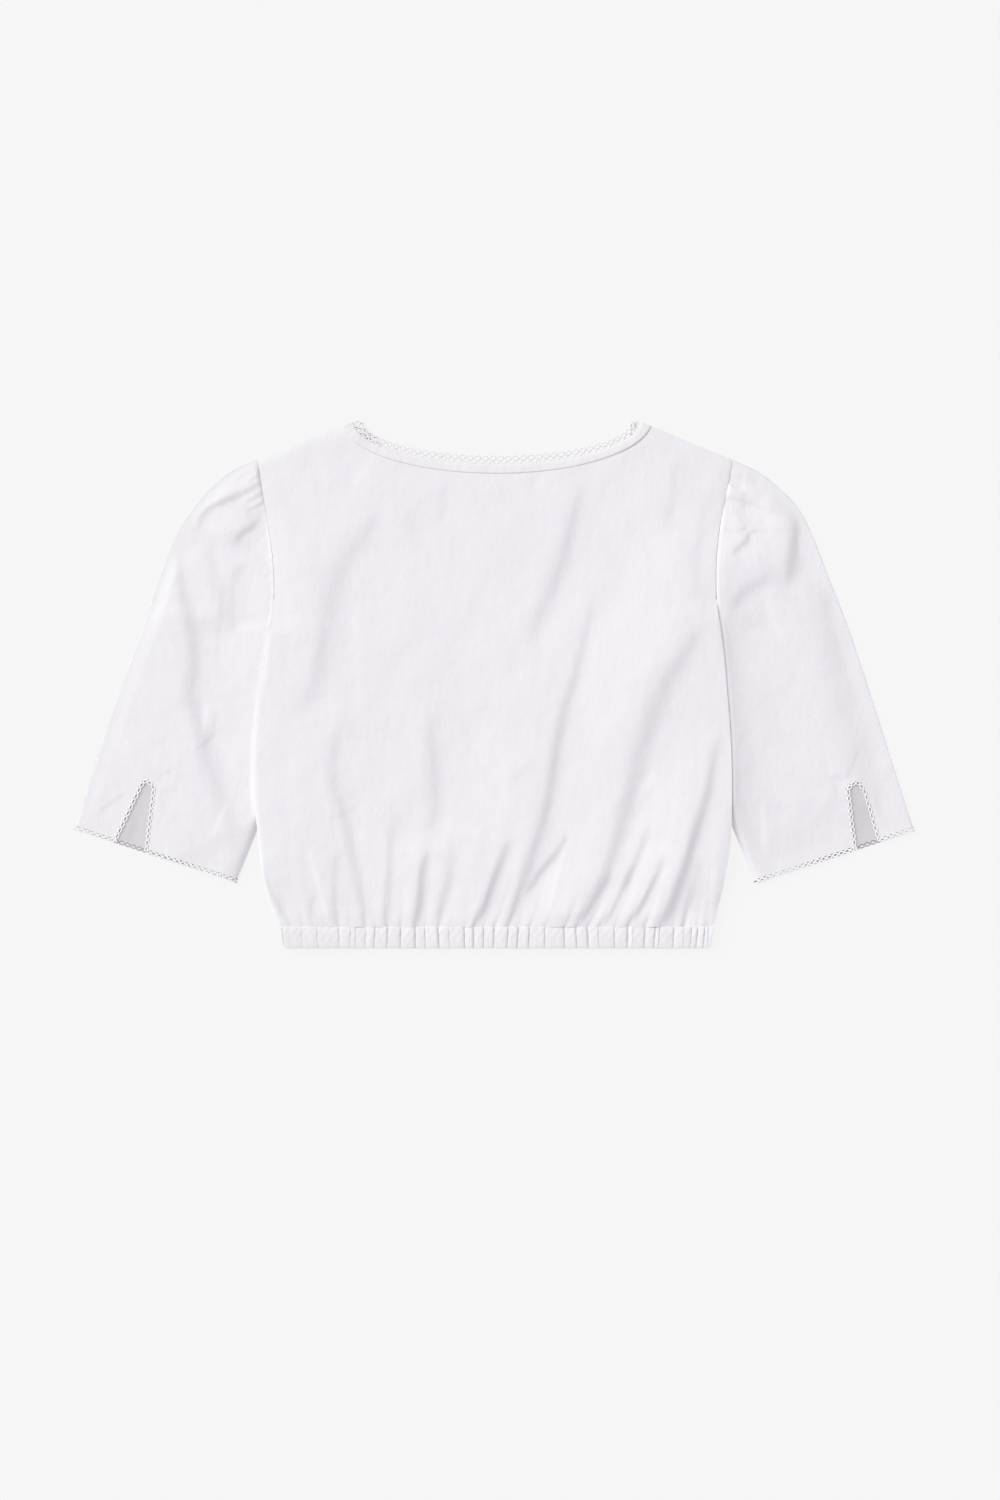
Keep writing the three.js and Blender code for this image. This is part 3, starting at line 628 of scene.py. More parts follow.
def tuck_depth(start, depths, width):
    """Depth of the tucks: the cloth drops into each from the left, and comes back slowly over the next."""
    k, share = tuck_shares(start)
    left = depths[k] * (1 - np.clip(share, 0, 1)) ** 1.4
    right = depths[k + 1] * np.exp(-np.maximum(TUCK_PLACES[k + 1] - start, 0) / width)
    return left + right


def gathers(x, y):
    """Lobes that the elastic draws up above the casing: high between the tucks, and gone within a hand."""
    up = np.maximum(y - WAIST_Y, 0)
    start = gather_coordinate(x, y)
    k = tuck_shares(start)[0]
    depths = np.array([row["gather"] for row in WAIST_TUCKS])
    lengths = 15 + 7 * np.sin(1.7 * k)
    trough = tuck_depth(start, depths, 1.4 + 0.08 * up) * np.exp(-up / lengths)
    lobes = 0.25 * np.exp(-up / GATHER_FADE) - trough
    streaks = np.sin(start / 2.9 + 1.4 * np.sin(y / 47)) + 0.7 * np.sin(start / 4.7 - y / 60 + 1.1)
    drawn = 0.1 * streaks * np.exp(-up / 110) * smooth(up / 20)
    return GATHER_HEIGHT * lobes + 0.6 * lobe_tilt(start) * np.exp(-up / 16) + drawn


def back_floor(x, y):
    """Underside of the back panel, without its gathers."""
    sides = np.minimum(x - left_side(y), right_side(y) - x)
    sewn = sewn_share(x, y)
    edge = rise(sides, SIDE_RISE)
    side = sewn * edge + (1 - sewn) * (0.72 + 0.28 * edge)
    puff = look_up(BODY_PUFF, "y", y, "height")
    creases = crease_height(BODY_CREASES, x, y) * (0.4 + 0.6 * smooth((y - WAIST_Y) / 14))
    near_waist = WAIST_PUFF * np.maximum(np.exp(-(y - WAIST_Y) / GATHER_FADE) - 0.02, 0)
    lift = body_lift(x, y)
    spanned = SPANNED * (1 - lift / by_side(x, "lift"))
    spanned = spanned * smooth((110 - y) / 90) * smooth((y + 200) / 60)
    return lift + spanned + SOLID_WALL + near_waist + LAYER_GAP + side * at_least(0, puff + creases, 1.2)


def panel_edge_distance(x, y, side):
    """Distance to the edges that are sewn: the sides, the shoulders and the neck seam."""
    sides = np.minimum(x - left_side(y), right_side(y) - x)
    shoulder = (shoulder_line(x) - y) * SHOULDER_COSINE
    width, depth = NECK_WIDTHS["seam"], NECK_DEPTHS[side]["seam"]
    dx, dy = (x - NECK_CENTRE[0]) / width, (y - NECK_CENTRE[1]) / depth
    radius = np.hypot(dx, dy)
    slope = np.hypot(dx / width, dy / depth) / np.maximum(radius, 1e-6)
    neck = (radius - 1) / np.maximum(slope, 1e-6)
    return sides, shoulder, neck


def back_top(x, y):
    """Upper side of the back panel, with its gathers, its sewn edges and its free, folded sides."""
    sides, shoulder, neck = panel_edge_distance(x, y, "back")
    surface = back_floor(x, y) + SOLID_WALL + swell(x, y) * rise(sides, 14)
    surface = surface + gathers(x, y) * (0.35 + 0.65 * rise(sides, 12))
    sewn = sewn_share(x, y)
    folded = body_lift(x, y) + by_side(x, "side_seam") + 2 * CLOTH
    turn = np.sqrt(1 - (1 - np.clip(sides / by_side(x, "side_fold"), 0, 1)) ** 2)
    stitched = np.where(x < 0, 0.08, 0.04 + 0.21 * smooth((y - 125) / 25))
    surface = surface - (1 - sewn) * (surface - folded) * (1 - turn)
    surface = surface - stitched * sewn * np.exp(-sides / 1.1)
    surface = surface - 1.4 * np.exp(-np.maximum(shoulder, 0) / 2.0)
    surface = surface - 0.06 * np.exp(-np.maximum(neck, 0) / 1.1)
    return surface - 0.35 * np.exp(-np.maximum(y - WAIST_Y, 0) / 1.6)


def front_under(x, y):
    """Underside of the front panel."""
    up = np.maximum(y - WAIST_Y, 0)
    start = gather_coordinate(x, y)
    lobe = np.zeros(np.shape(x))
    for place in TUCK_PLACES[2::2]:
        lobe += np.exp(-(((start - place) / (1.8 + 0.1 * up)) ** 2))
    gathered = FRONT_WAIST_PUFF * np.maximum(np.exp(-up / GATHER_FADE) - 0.02, 0) * (1 - np.minimum(lobe, 1))
    sides, shoulder = panel_edge_distance(x, y, "front")[:2]
    sewn = sewn_share(x, y)
    turned = (0.15 * sewn + by_side(x, "side_seam") * (1 - sewn)) * np.exp(-((sides / 4) ** 2))
    turned = turned + 0.3 * np.exp(-np.maximum(shoulder, 0) / 1.5)
    return body_lift(x, y) + gathered + turned


# Meshes
def grid_points(across, along):
    """A bmesh grid, and its points' places on it: 0 to 1 both ways."""
    bm = bmesh.new()
    bmesh.ops.create_grid(bm, x_segments=across, y_segments=along, size=0.5)
    places = np.array([vert.co[:] for vert in bm.verts]) + 0.5
    return bm, places[:, 0], places[:, 1]


def set_points(bm, x, y, z):
    """Places a grid's points, which are given in millimetres."""
    for vert, co in zip(bm.verts, np.column_stack([x, y, z]) * METRE):
        vert.co = co


def lay_uv(bm, u, v):
    """The cloth's own coordinates, in metres along the weft and the warp."""
    layer = bm.loops.layers.uv.new("cloth")
    bm.verts.index_update()
    for face in bm.faces:
        for loop in face.loops:
            k = loop.vert.index
            loop[layer].uv = (u[k] * METRE, v[k] * METRE)


def make_piece(name, bm, material):
    """Turns a bmesh into a piece of the scene."""
    mesh = bpy.data.meshes.new(name)
    bm.to_mesh(mesh)
    bm.free()
    mesh.shade_smooth()
    mesh.materials.append(material)
    piece = bpy.data.objects.new(name, mesh)
    bpy.context.scene.collection.objects.link(piece)
    return piece


def thicken(piece, thickness, offset=-1, inside=None):
    """Gives a sheet its wall, with crisp cut edges. inside is the finish of the face turned in, a darker one
    that paints shade.
    """
    if inside:
        piece.data.materials.append(inside)
    wall = piece.modifiers.new("cloth wall", "SOLIDIFY")
    wall.thickness = thickness * METRE
    wall.offset = offset
    wall.material_offset = 1 if inside else 0
    sheet = piece.data
    shaped = piece.evaluated_get(bpy.context.evaluated_depsgraph_get())
    piece.data = bpy.data.meshes.new_from_object(shaped)
    piece.modifiers.clear()
    bpy.data.meshes.remove(sheet)
    piece.data.name = piece.name
    piece.data.set_sharp_from_angle(angle=math.radians(50))
    return piece


def panel_plan(side, u, v):
    """Where a panel's grid lies: u across, and v from its top edge down to the waist seam."""
    share = np.linspace(0, 1, 401)
    neck = np.column_stack(neck_point(side, "seam", share))
    passed = run_along(neck)
    left = (left_side(SHOULDER_Y), SHOULDER_Y)
    right = (right_side(SHOULDER_Y), SHOULDER_Y)
    neck_from, neck_to = 0.165, 0.835
    on_neck = np.clip((u - neck_from) / (neck_to - neck_from), 0, 1)
    middle = neck_point(side, "seam", np.interp(on_neck, passed / passed[-1], share))
    to_neck = np.clip(u / neck_from, 0, 1)
    from_neck = np.clip((u - neck_to) / (1 - neck_to), 0, 1)
    top_x, top_y = [
        np.where(u < neck_from, left[k] + (neck[0, k] - left[k]) * to_neck,
                 np.where(u > neck_to, neck[-1, k] + (right[k] - neck[-1, k]) * from_neck, middle[k]))
        for k in range(2)]
    top_share = (top_x - left_side(top_y)) / (right_side(top_y) - left_side(top_y))
    down = 1 - (1 - v) ** 1.3
    y = top_y + (WAIST_Y - PANEL_UNDER_CASING - top_y) * down
    turn = smooth(down * 1.6)
    spread = np.interp(u, [0, 0.02, 0.98, 1], [0, 0.0085, 0.9915, 1])
    across = top_share + (spread - top_share) * turn
    return left_side(y) + (right_side(y) - left_side(y)) * across, y


def panel(name, side, columns, rows, surface, material):
    """A sheet with a panel's outline, on the surface that gives its height."""
    bm, u, v = grid_points(columns, rows)
    x, y = panel_plan(side, u, 1 - v)
    set_points(bm, x, y, surface(x, y))
    lay_uv(bm, x, y)
    return make_piece(name, bm, material)


def band(name, steps, rim_steps, place, material):
    """A flat closed band: place gives its points from a share along it and an angle round its section."""
    bm, u, v = grid_points(rim_steps, steps)
    points, flat = place(v, u * 2 * math.pi)
    set_points(bm, *points)
    lay_uv(bm, *flat)
    bmesh.ops.remove_doubles(bm, verts=bm.verts, dist=1e-6)
    bmesh.ops.holes_fill(bm, edges=[edge for edge in bm.edges if edge.is_boundary], sides=0)
    bmesh.ops.recalc_face_normals(bm, faces=bm.faces)
    return make_piece(name, bm, material)


# Shader maths
class Field:
    """A shader socket that takes part in Python expressions."""

    def __init__(self, tree, socket):
        self.tree = tree
        self.socket = socket

    def combine(self, operation, other, swapped=False):
        node = self.tree.nodes.new("ShaderNodeMath")
        node.operation = operation
        for socket, value in zip(node.inputs, (other, self) if swapped else (self, other)):
            if isinstance(value, Field):
                self.tree.links.new(value.socket, socket)
            else:
                socket.default_value = value
        return Field(self.tree, node.outputs[0])

    def __add__(self, other):
        return self.combine("ADD", other)

    def __radd__(self, other):
        return self.combine("ADD", other, True)

    def __sub__(self, other):
        return self.combine("SUBTRACT", other)

    def __rsub__(self, other):
        return self.combine("SUBTRACT", other, True)

    def __mul__(self, other):
        return self.combine("MULTIPLY", other)

    def __rmul__(self, other):
        return self.combine("MULTIPLY", other, True)


class Finish:
    """A material under construction, with one method for every node that isn't plain maths."""

    def __init__(self, name):
        self.material = bpy.data.materials.new(name)
        self.material.use_nodes = True
        self.tree = self.material.node_tree
        self.surface = self.tree.nodes["Principled BSDF"]

    def node(self, kind, settings=None, output=0, **sockets):
        node = self.tree.nodes.new(kind)
        for key, value in (settings or {}).items():
            setattr(node, key, value)
        for key, value in sockets.items():
            self.feed(node.inputs[key.replace("_", " ")], value)
        return Field(self.tree, node.outputs[output])

    def feed(self, socket, value):
        if isinstance(value, Field):
            self.tree.links.new(value.socket, socket)
        else:
            socket.default_value = value

    def set(self, **sockets):
        for key, value in sockets.items():
            self.feed(self.surface.inputs[key.replace("_", " ")], value)

    def mix(self, factor, low, high):
        node = self.tree.nodes.new("ShaderNodeMix")
        node.data_type = "RGBA"
        self.feed(node.inputs[0], factor)
        self.feed(node.inputs[6], low)
        self.feed(node.inputs[7], high)
        return Field(self.tree, node.outputs[2])


def cotton_finish(name, pale, cool, weave=PANEL_WEAVE):
    """Plain-woven cotton: a fine weave with uneven threads, soft pressed creases and a faint cool cast."""
    cloth = Finish(name)
    grain = cloth.node("ShaderNodeUVMap", {"uv_map": "cloth"})
    warp, weft = [
        cloth.node("ShaderNodeTexWave",
                   {"wave_type": "BANDS", "bands_direction": direction, "wave_profile": "SIN"},
                   Vector=grain, Scale=weave, Distortion=0.25, Detail=1.0, Detail_Scale=0.4)
        for direction in "XY"]
    place = cloth.node("ShaderNodeTexCoord", output=3)
    slub = cloth.node("ShaderNodeTexNoise", Vector=place, Scale=900.0, Detail=2.0, Roughness=0.6)
    pressed = cloth.node("ShaderNodeTexNoise", Vector=place, Scale=38.0, Detail=3.0, Roughness=0.45)
    hanging = cloth.node("ShaderNodeMapping", Vector=place, Scale=(1.0, 0.5, 1.0), Rotation=(0, 0, 0.35))
    crumple = cloth.node("ShaderNodeTexNoise", Vector=hanging, Scale=120.0, Detail=3.0, Roughness=0.6)
    broad = cloth.node("ShaderNodeTexNoise", Vector=place, Scale=9.0, Detail=2.0, Roughness=0.5)
    threads = warp * weft + (1 - warp) * (1 - weft)
    fine = cloth.node("ShaderNodeBump", Height=threads * 0.7 + slub * 0.6, Strength=0.35, Distance=0.00006)
    soft = cloth.node("ShaderNodeBump", Height=pressed * 1.2 + crumple * 0.4, Strength=1.0,
                      Distance=0.001, Normal=fine)
    tone = cloth.mix(broad * 0.7 + slub * 0.3, pale, cool)
    cloth.set(Base_Color=tone, Roughness=0.8 + 0.12 * slub, Normal=soft,
              Sheen_Weight=0.12, Sheen_Roughness=0.5)
    cloth.surface.inputs["Specular IOR Level"].default_value = 0.25
    return cloth.material


def lace_finish(name, pale, cool):
    """Cotton thread, twisted tight."""
    thread = Finish(name)
    place = thread.node("ShaderNodeTexCoord", output=3)
    twist = thread.node("ShaderNodeTexNoise", Vector=place, Scale=2600.0, Detail=2.0, Roughness=0.7)
    bump = thread.node("ShaderNodeBump", Height=twist, Strength=0.6, Distance=0.00012)
    thread.set(Base_Color=thread.mix(twist, pale, cool), Roughness=0.72 + 0.15 * twist, Normal=bump,
               Sheen_Weight=0.1)
    thread.surface.inputs["Specular IOR Level"].default_value = 0.3
    return thread.material


cotton = cotton_finish("white cotton", (0.785, 0.773, 0.797, 1), (0.755, 0.744, 0.768, 1))
# The inside of the sleeves' cloth is darker than the cotton: painted shade, for the sleeves' inside seen
# through the slits.
painted_shade_cotton = cotton_finish("white cotton, painted shade inside", (0.62, 0.605, 0.62, 1), (0.6, 0.585, 0.605, 1))
# A slightly darker binding: painted shade, for the front binding lying under the back's lace.
painted_shade_binding = cotton_finish(
    "white cotton binding, painted shade", (0.77, 0.755, 0.77, 1), (0.74, 0.725, 0.745, 1), BINDING_WEAVE)
binding_cotton = cotton_finish(
    "white cotton binding", (0.785, 0.773, 0.79, 1), (0.765, 0.753, 0.772, 1), BINDING_WEAVE)
lace_thread = lace_finish("white lace thread", (0.9, 0.89, 0.905, 1), (0.84, 0.83, 0.85, 1))
neck_thread = lace_finish("white neck lace thread", (0.84, 0.825, 0.845, 1), (0.78, 0.765, 0.785, 1))
# A much darker lace thread: painted shade, for the lower hem lace lying under the sleeve's upper layer.
lace_shaded = lace_finish("white lace thread below, painted shade", (0.5, 0.49, 0.5, 1), (0.44, 0.43, 0.44, 1))
# A darker lace thread: painted shade, for the front neck lace seen through the back's lace.
painted_shade_lace = lace_finish("white lace thread, painted shade", (0.8, 0.785, 0.8, 1), (0.74, 0.725, 0.74, 1))

# The body's two panels. The back one's wall goes down from its surface, and the front one's goes up
back_panel = thicken(panel("back_panel_cloth", "back", 288, 150, back_top, cotton), CLOTH)
front_panel = thicken(panel("front_panel_cloth", "front", 150, 140, front_under, cotton), CLOTH, 1)


# Neck: binding and lace
def neck_band(name, side, floor, material):
    """The folded binding, sewn on over the panel's neck edge."""
    def place(along, angle):
        ox, oy = neck_point(side, "seam", along)
        ix, iy = neck_point(side, "edge", along)
        reach = np.hypot(ix - ox, iy - oy)
        across = 0.5 - 0.5 * np.cos(angle)
        inward = across * (reach + NECK_TUCK) - NECK_TUCK
        x = ox + (ix - ox) * inward / reach
        y = oy + (iy - oy) * inward / reach
        low = floor(ox, oy)
        gap = -0.35 + 0.5 * smooth(along / 0.5) + 0.35 * smooth((along - 0.6) / 0.35)
        crown = np.abs(np.sin(angle)) ** 0.45
        pucker = 0.03 * np.sin(along * 310) + 0.03 * np.sin(along * 173 + across * 2)
        full = 0.1 + (BINDING_HEIGHT + pucker) * smooth((inward - gap) / 0.45)
        upper = low + full * np.where(across > 0.5, crown, np.minimum(1, crown * 2))
        return (x, y, np.where(np.sin(angle) > 0, upper, low)), (along * 270, across * 10)

    return band(name, 420, 28, place, material)


def flat_floor(x, y):
    """The surface that the blouse lies on."""
    return np.zeros(np.shape(x))


neck_binding_back = neck_band("neck_binding_back_cloth", "back", back_floor, binding_cotton)
# The front binding takes the darker finish: painted shade under the back's lace.
neck_binding_front = neck_band("neck_binding_front_cloth", "front", flat_floor, painted_shade_binding)


def thread_mesh(name, lines, radius, closed):
    """Flattened threads along lines of points."""
    curve = bpy.data.curves.new(name, "CURVE")
    curve.dimensions = "3D"
    curve.bevel_depth = radius * METRE
    curve.bevel_resolution = 1
    curve.use_fill_caps = True
    for line in lines:
        spline = curve.splines.new("POLY")
        spline.points.add(len(line) - 1)
        spline.use_cyclic_u = closed
        for point, co in zip(spline.points, line):
            point.co = (co[0] * METRE, co[1] * METRE, co[2] * METRE / THREAD_FLATNESS, 1)
    source = bpy.data.objects.new(name, curve)
    bpy.context.scene.collection.objects.link(source)
    shaped = source.evaluated_get(bpy.context.evaluated_depsgraph_get())
    mesh = bpy.data.meshes.new_from_object(shaped)
    bpy.data.objects.remove(source)
    bpy.data.curves.remove(curve)
    mesh.transform(Matrix.Diagonal((1, 1, THREAD_FLATNESS, 1)))
    return mesh


def threads(name, lines, radius, material, low_lines=(), low_material=None, closed=False):
    """A piece of lace. Its low lines are a little wider, and have a finish of their own, a darker one that
    paints shade.
    """
    bm = bmesh.new()
    bm.from_mesh(thread_mesh(name + "_path", lines, radius, closed))
    if len(low_lines):
        above = len(bm.faces)
        bm.from_mesh(thread_mesh(name + "_low_path", low_lines, radius * LOW_THREAD_WIDTH, closed))
        bm.faces.ensure_lookup_table()
        for face in bm.faces[above:]:
            face.material_index = 1
    piece = make_piece(name, bm, material)
    if low_material:
        piece.data.materials.append(low_material)
    return piece


def lace_lines(place, begin, finish, pitch, middle):
    """The two threads of a lace edging. place takes lengths along and across it, and a height over it."""
    steps = max(2, round(abs(finish - begin) / pitch * LACE_POINTS) + 1)
    along = np.linspace(begin, finish, steps)
    phase = math.pi * along / pitch
    wave = np.sign(np.cos(phase)) * np.abs(np.cos(phase)) ** LACE_ROUNDNESS
    over = LACE_OVER * np.sin(2 * phase)
    return [np.column_stack(place(along, middle + way * LACE_SWING * wave, way * over)) for way in (1, -1)]


def neck_lace(name, side, floor, finish):
    """Rows of rings along the binding's inner edge."""
    share = np.linspace(0, 1, 801)
    passed = run_along(np.column_stack(neck_point(side, "edge", share)))

    def place(along, across, over):
        at = np.interp(along, passed, share)
        ox, oy = neck_point(side, "edge", at)
        ix, iy = neck_point(side, "lace", at)
        sx, sy = neck_point(side, "seam", at)
        reach = across / NECK_LACE_WIDTH
        height = floor(sx, sy) + NECK_LACE_RISE[side] + over
        return ox + (ix - ox) * reach, oy + (iy - oy) * reach, height

    rings = []
    turn = np.linspace(0, 2 * math.pi, NECK_RING_POINTS + 1)[:-1]
    for row, middle in enumerate(NECK_RING_ROWS):
        for k in range(int(passed[-1] / NECK_RING_PITCH - 0.5 * row)):
            centre = (k + 0.5 + 0.5 * row) * NECK_RING_PITCH
            along = np.clip(centre + NECK_RING_REACH[0] * np.cos(turn), 0, passed[-1])
            across = middle + NECK_RING_REACH[1] * np.sin(turn)
            over = NECK_RING_OVER * row + NECK_RING_TILT * np.cos(turn)
            rings.append(np.column_stack(place(along, across, over)))
    return threads(name, rings, NECK_THREAD_RADIUS, finish, closed=True)


neck_lace_back = neck_lace("neck_lace_back_thread", "back", back_floor, neck_thread)
# The front lace takes the darker thread: painted shade under the back's lace.
neck_lace_front = neck_lace("neck_lace_front_thread", "front", flat_floor, painted_shade_lace)


# Waist casing
def slit_depth(x):
    """The narrow gap where each tuck closes on itself."""
    depth = np.zeros(np.shape(x))
    for row in WAIST_TUCKS:
        depth += row["casing"] * np.exp(-np.abs(x - row["x"]) / 0.4)
    return depth


def casing(name, floor, thickness, lobe, steps, material):
    """One half of the waist casing, drawn up into lobes by the elastic inside it."""
    depths = np.array([row["casing"] for row in WAIST_TUCKS])

    def place(along, angle):
        across = 0.5 - 0.5 * np.cos(angle)
        y = WAIST_Y + (HEM_Y - WAIST_Y) * across
        round_off = np.sqrt(1 - np.clip((y - HEM_Y) / CASING_CORNER - 1, -1, 0) ** 2)
        corner = CASING_CORNER * (1 - round_off)
        left, right = left_side(y) + corner, right_side(y) - corner
        x = left + (right - left) * along
        leaning = x + (across - 0.5) * (1.3 * np.sin(x / 19 + 0.7) + 2.2 * smooth((x - 158) / 14))
        tucks = 0.62 * tuck_depth(leaning, depths, 0.7) + 0.42 * slit_depth(leaning)
        soft = 0.08 * np.sin(x * 0.9 + 3 * np.sin(y * 0.31)) + 0.08 * np.sin(x * 0.37 + y * 0.5)
        raised = lobe * (1 - tucks + 0.3 * lobe_tilt(leaning) + soft) + 0.5
        crown = np.abs(np.sin(angle)) ** 0.2
        fall = (1 - 0.05 * np.exp(-across / 0.08)) * (1 - 0.42 * across ** 1.5)
        half = thickness / 2
        upper = floor + half + (half + raised) * crown * fall
        lower = floor + half - half * crown
        return (x, y, np.where(np.sin(angle) > 0, upper, lower)), (x, y)

    return band(name, steps, 36, place, material)


waist_casing_back = casing(
    "waist_casing_back_cloth", CASING_FLOOR, CASING_THICKNESS, CASING_LOBE, 1150, cotton)
waist_casing_front = casing(
    "waist_casing_front_cloth", 0, FRONT_CASING_THICKNESS, FRONT_CASING_LOBE, 500, cotton)


# Sleeves
def sleeve_plan(sleeve):
    """Plan of a flattened sleeve: a patch between its outer fold, inner edge, armhole and hem."""
    outward = ARMHOLE_GAP * sign_of(sleeve)
    fold_line = np.array(smooth_line(sleeve["outer"], 16))
    passed = run_along(fold_line)
    table = armhole_table(sleeve)
    start, tip = sleeve["outer"][0], sleeve["hem_tip"]
    foot = sleeve["outer"][-1]
    underarm = (table[-1]["x"], table[-1]["y"])

    def plan(down, across):
        at = down * passed[-1]
        outer = np.interp(at, passed, fold_line[:, 0]), np.interp(at, passed, fold_line[:, 1])
        top_y = table[0]["y"] + (table[-1]["y"] - table[0]["y"]) * across
        top = look_up(table, "y", top_y, "x"), top_y
        point = []
        for k in range(2):
            inner = underarm[k] + (tip[k] - underarm[k]) * down
            hem = foot[k] + (tip[k] - foot[k]) * across
            corners = (start[k] + (underarm[k] - start[k]) * across) * (1 - down) + hem * down
            rails = top[k] * (1 - down) + hem * down
            point.append(outer[k] * (1 - across) + inner * across + rails - corners)
        return point[0] + outward, point[1]

    return plan


def sleeve_edges(sleeve, x, y):
    """Distances to a sleeve's outer fold, inner edge, hem and armhole."""
    underarm = hidden_corners(sleeve)[1]
    hem = [sleeve["outer"][-1], sleeve["hem_tip"]]
    armhole = [(row["x"], row["y"]) for row in armhole_table(sleeve)]
    lines = [smooth_line(sleeve["outer"], 4), [underarm, sleeve["hem_tip"]], hem, smooth_line(armhole, 4)]
    return [measure_from(line, x, y)[0] for line in lines]


def sleeve_top(sleeve, x, y):
    """Upper surface of a flattened sleeve."""
    side = body_side(sleeve, y)
    outside = (x - side) * sign_of(sleeve)
    out = np.maximum(outside, 0)
    from_fold, from_inner, from_hem, from_seam = sleeve_edges(sleeve, x, y)
    beside = smooth((sleeve["beside_from"] - y) / 40)
    beyond = np.maximum(outside - 3, 0)
    pillow = sleeve["pillow"] * (1 - np.exp(-((from_fold / sleeve["fold_reach"]) ** 1.5)))
    pillow = pillow * rise(from_inner, 14) * (0.2 + 0.8 * rise(from_hem, 60))
    pillow = pillow * (1 - 0.5 * smooth((y - 100) / 50))
    pillow = pillow * (1 - np.exp(-beyond / sleeve["valley"]) * beside) + 0.7 * np.exp(-from_hem / 9)
    under = sleeve["lift"] - UNDER_BODY_GAP
    carried = np.exp(-beyond / 14) * beside * rise(from_inner, 2.5)
    hump = np.exp(-((np.minimum(outside + 0.8, 0) / 2.5) ** 2)) * np.exp(-out / sleeve["beside_reach"])
    hump = hump * beside * rise(from_inner, 2.5)
    free = smooth((outside + 1) / 9)
    level = SLEEVE_EDGE + (under - SLEEVE_EDGE) * carried
    level = level + free * pillow + sleeve["beside_body"] * hump
    step = np.interp(y, SEAM_STEP_AT, sleeve["seam_step"])
    sewn = sewn_share(x, y)
    flush = body_lift(side, y) + sewn * (2 * SOLID_WALL + LAYER_GAP + step)
    flush = flush + (1 - sewn) * (sleeve["side_seam"] - 0.2)
    met = np.exp(-from_seam / sleeve["met_reach"])
    met = met * smooth((y - 42) / 20) * smooth((outside + 1.6) / 1.2)
    met = met * (1 - np.exp(-((from_fold / 25) ** 1.5)))
    level = level + (flush - level) * met
    level = level - sleeve["seam_dip"] * sewn * np.exp(-from_seam / 0.9)
    creases = crease_height(sleeve["creases"], x, y)
    creases = creases * smooth((outside + 1) / 4) * smooth(from_fold / 14)
    swells = 0.8 * swell(x + 40, y - 25) * free * rise(from_fold, 12)
    return at_least(SLEEVE_FLOOR, level + creases + swells)


def cap_gathers(sleeve, x, y):
    """Small tucks where the sleeve's cap is gathered into the armhole."""
    from_seam = sleeve_edges(sleeve, x, y)[3]
    tucks = np.zeros(np.shape(x))
    steepness = 1 if sign_of(sleeve) < 0 else 0.8
    width = 1.9 + 0.16 * from_seam
    for k in range(CAP_TUCKS):
        foot = CAP_TOP_Y - CAP_TUCK_PITCH * k + 1.6 * math.sin(2.1 * k)
        lean = -0.42 - 0.02 * k + 0.1 * math.sin(1.7 * k)
        line = y - foot - lean * from_seam * steepness
        length = 8.5 + 3.5 * math.sin(2.9 * k)
        depth = (0.7 + 0.3 * math.sin(k * 3.1)) * np.exp(-from_seam / length)
        tucks += depth * np.exp(-((line / width) ** 2))
    drawn_up = 0.15 * np.exp(-from_seam / 9) * smooth((y - 85) / 20)
    return drawn_up - 0.45 * np.minimum(tucks, 1)


def sleeve_rim(sleeve, top, from_fold, from_inner, y):
    """Upper and lower layers where they turn into each other at a flattened sleeve's two edges."""
    middle = SLEEVE_EDGE
    reach = 1.5 + (sleeve["inner_turn"] - 1.5) * smooth((-112 - y) / 22)
    inner = 1 - 0.5 * np.exp(-from_inner / reach) - 0.5 * np.exp(-from_inner / 1.8)
    upper = middle + (top - middle) * rise(from_fold, 0.35) * inner
    lower = middle * (1 - rise(np.minimum(from_fold, from_inner), 1.3))
    return upper, lower


def slit_outline(slit):
    """The slit's edge, from one foot up over its top and down to the other foot."""
    names = ("outer_foot", "outer_top", "crown", "inner_top", "inner_foot")
    outer_foot, outer_top, crown, inner_top, inner_foot = [np.array(slit[name], float) for name in names]
    legs = np.linspace(0, 1, 9)[:, None]
    turn = np.linspace(0, 1, 11)[:, None]
    top = outer_top * (1 - turn) ** 2 + crown * 2 * turn * (1 - turn) + inner_top * turn ** 2
    return np.vstack([outer_foot + (outer_top - outer_foot) * legs[:-1], top,
                      inner_top + (inner_foot - inner_top) * legs[1:]])


def cut_slit(bm, slit, upper_from):
    """Cuts the slit out of the upper layer alone."""
    outline = slit_outline(slit)
    beyond_outer = outline[0] + (outline[0] - outline[1]) * 3
    beyond_inner = outline[-1] + (outline[-1] - outline[-2]) * 3
    polygon = np.vstack([beyond_outer, outline, beyond_inner])
    for start, end in zip(polygon[:-1], polygon[1:]):
        middle = Vector((start + end) / 2 * METRE)
        reach = (np.hypot(*(end - start)) / 2 + 2.5) * METRE
        near = [face for face in bm.faces
                if face[upper_from] and (face.calc_center_median().xy - middle).length < reach]
        geometry = set(near)
        for face in near:
            geometry.update(face.edges)
            geometry.update(face.verts)
        way = end - start
        bmesh.ops.bisect_plane(bm, geom=list(geometry), dist=1e-7, plane_co=(*(start * METRE), 0),
                               plane_no=(way[1], -way[0], 0))
    inside = []
    for face in bm.faces:
        if not face[upper_from]:
            continue
        centre = face.calc_center_median() / METRE
        crossings = 0
        for (ax, ay), (bx, by) in zip(polygon, np.roll(polygon, -1, axis=0)):
            if (ay > centre.y) != (by > centre.y) and centre.x < ax + (bx - ax) * (centre.y - ay) / (by - ay):
                crossings += 1
        if crossings % 2:
            inside.append(face)
    bmesh.ops.delete(bm, geom=inside, context="FACES")


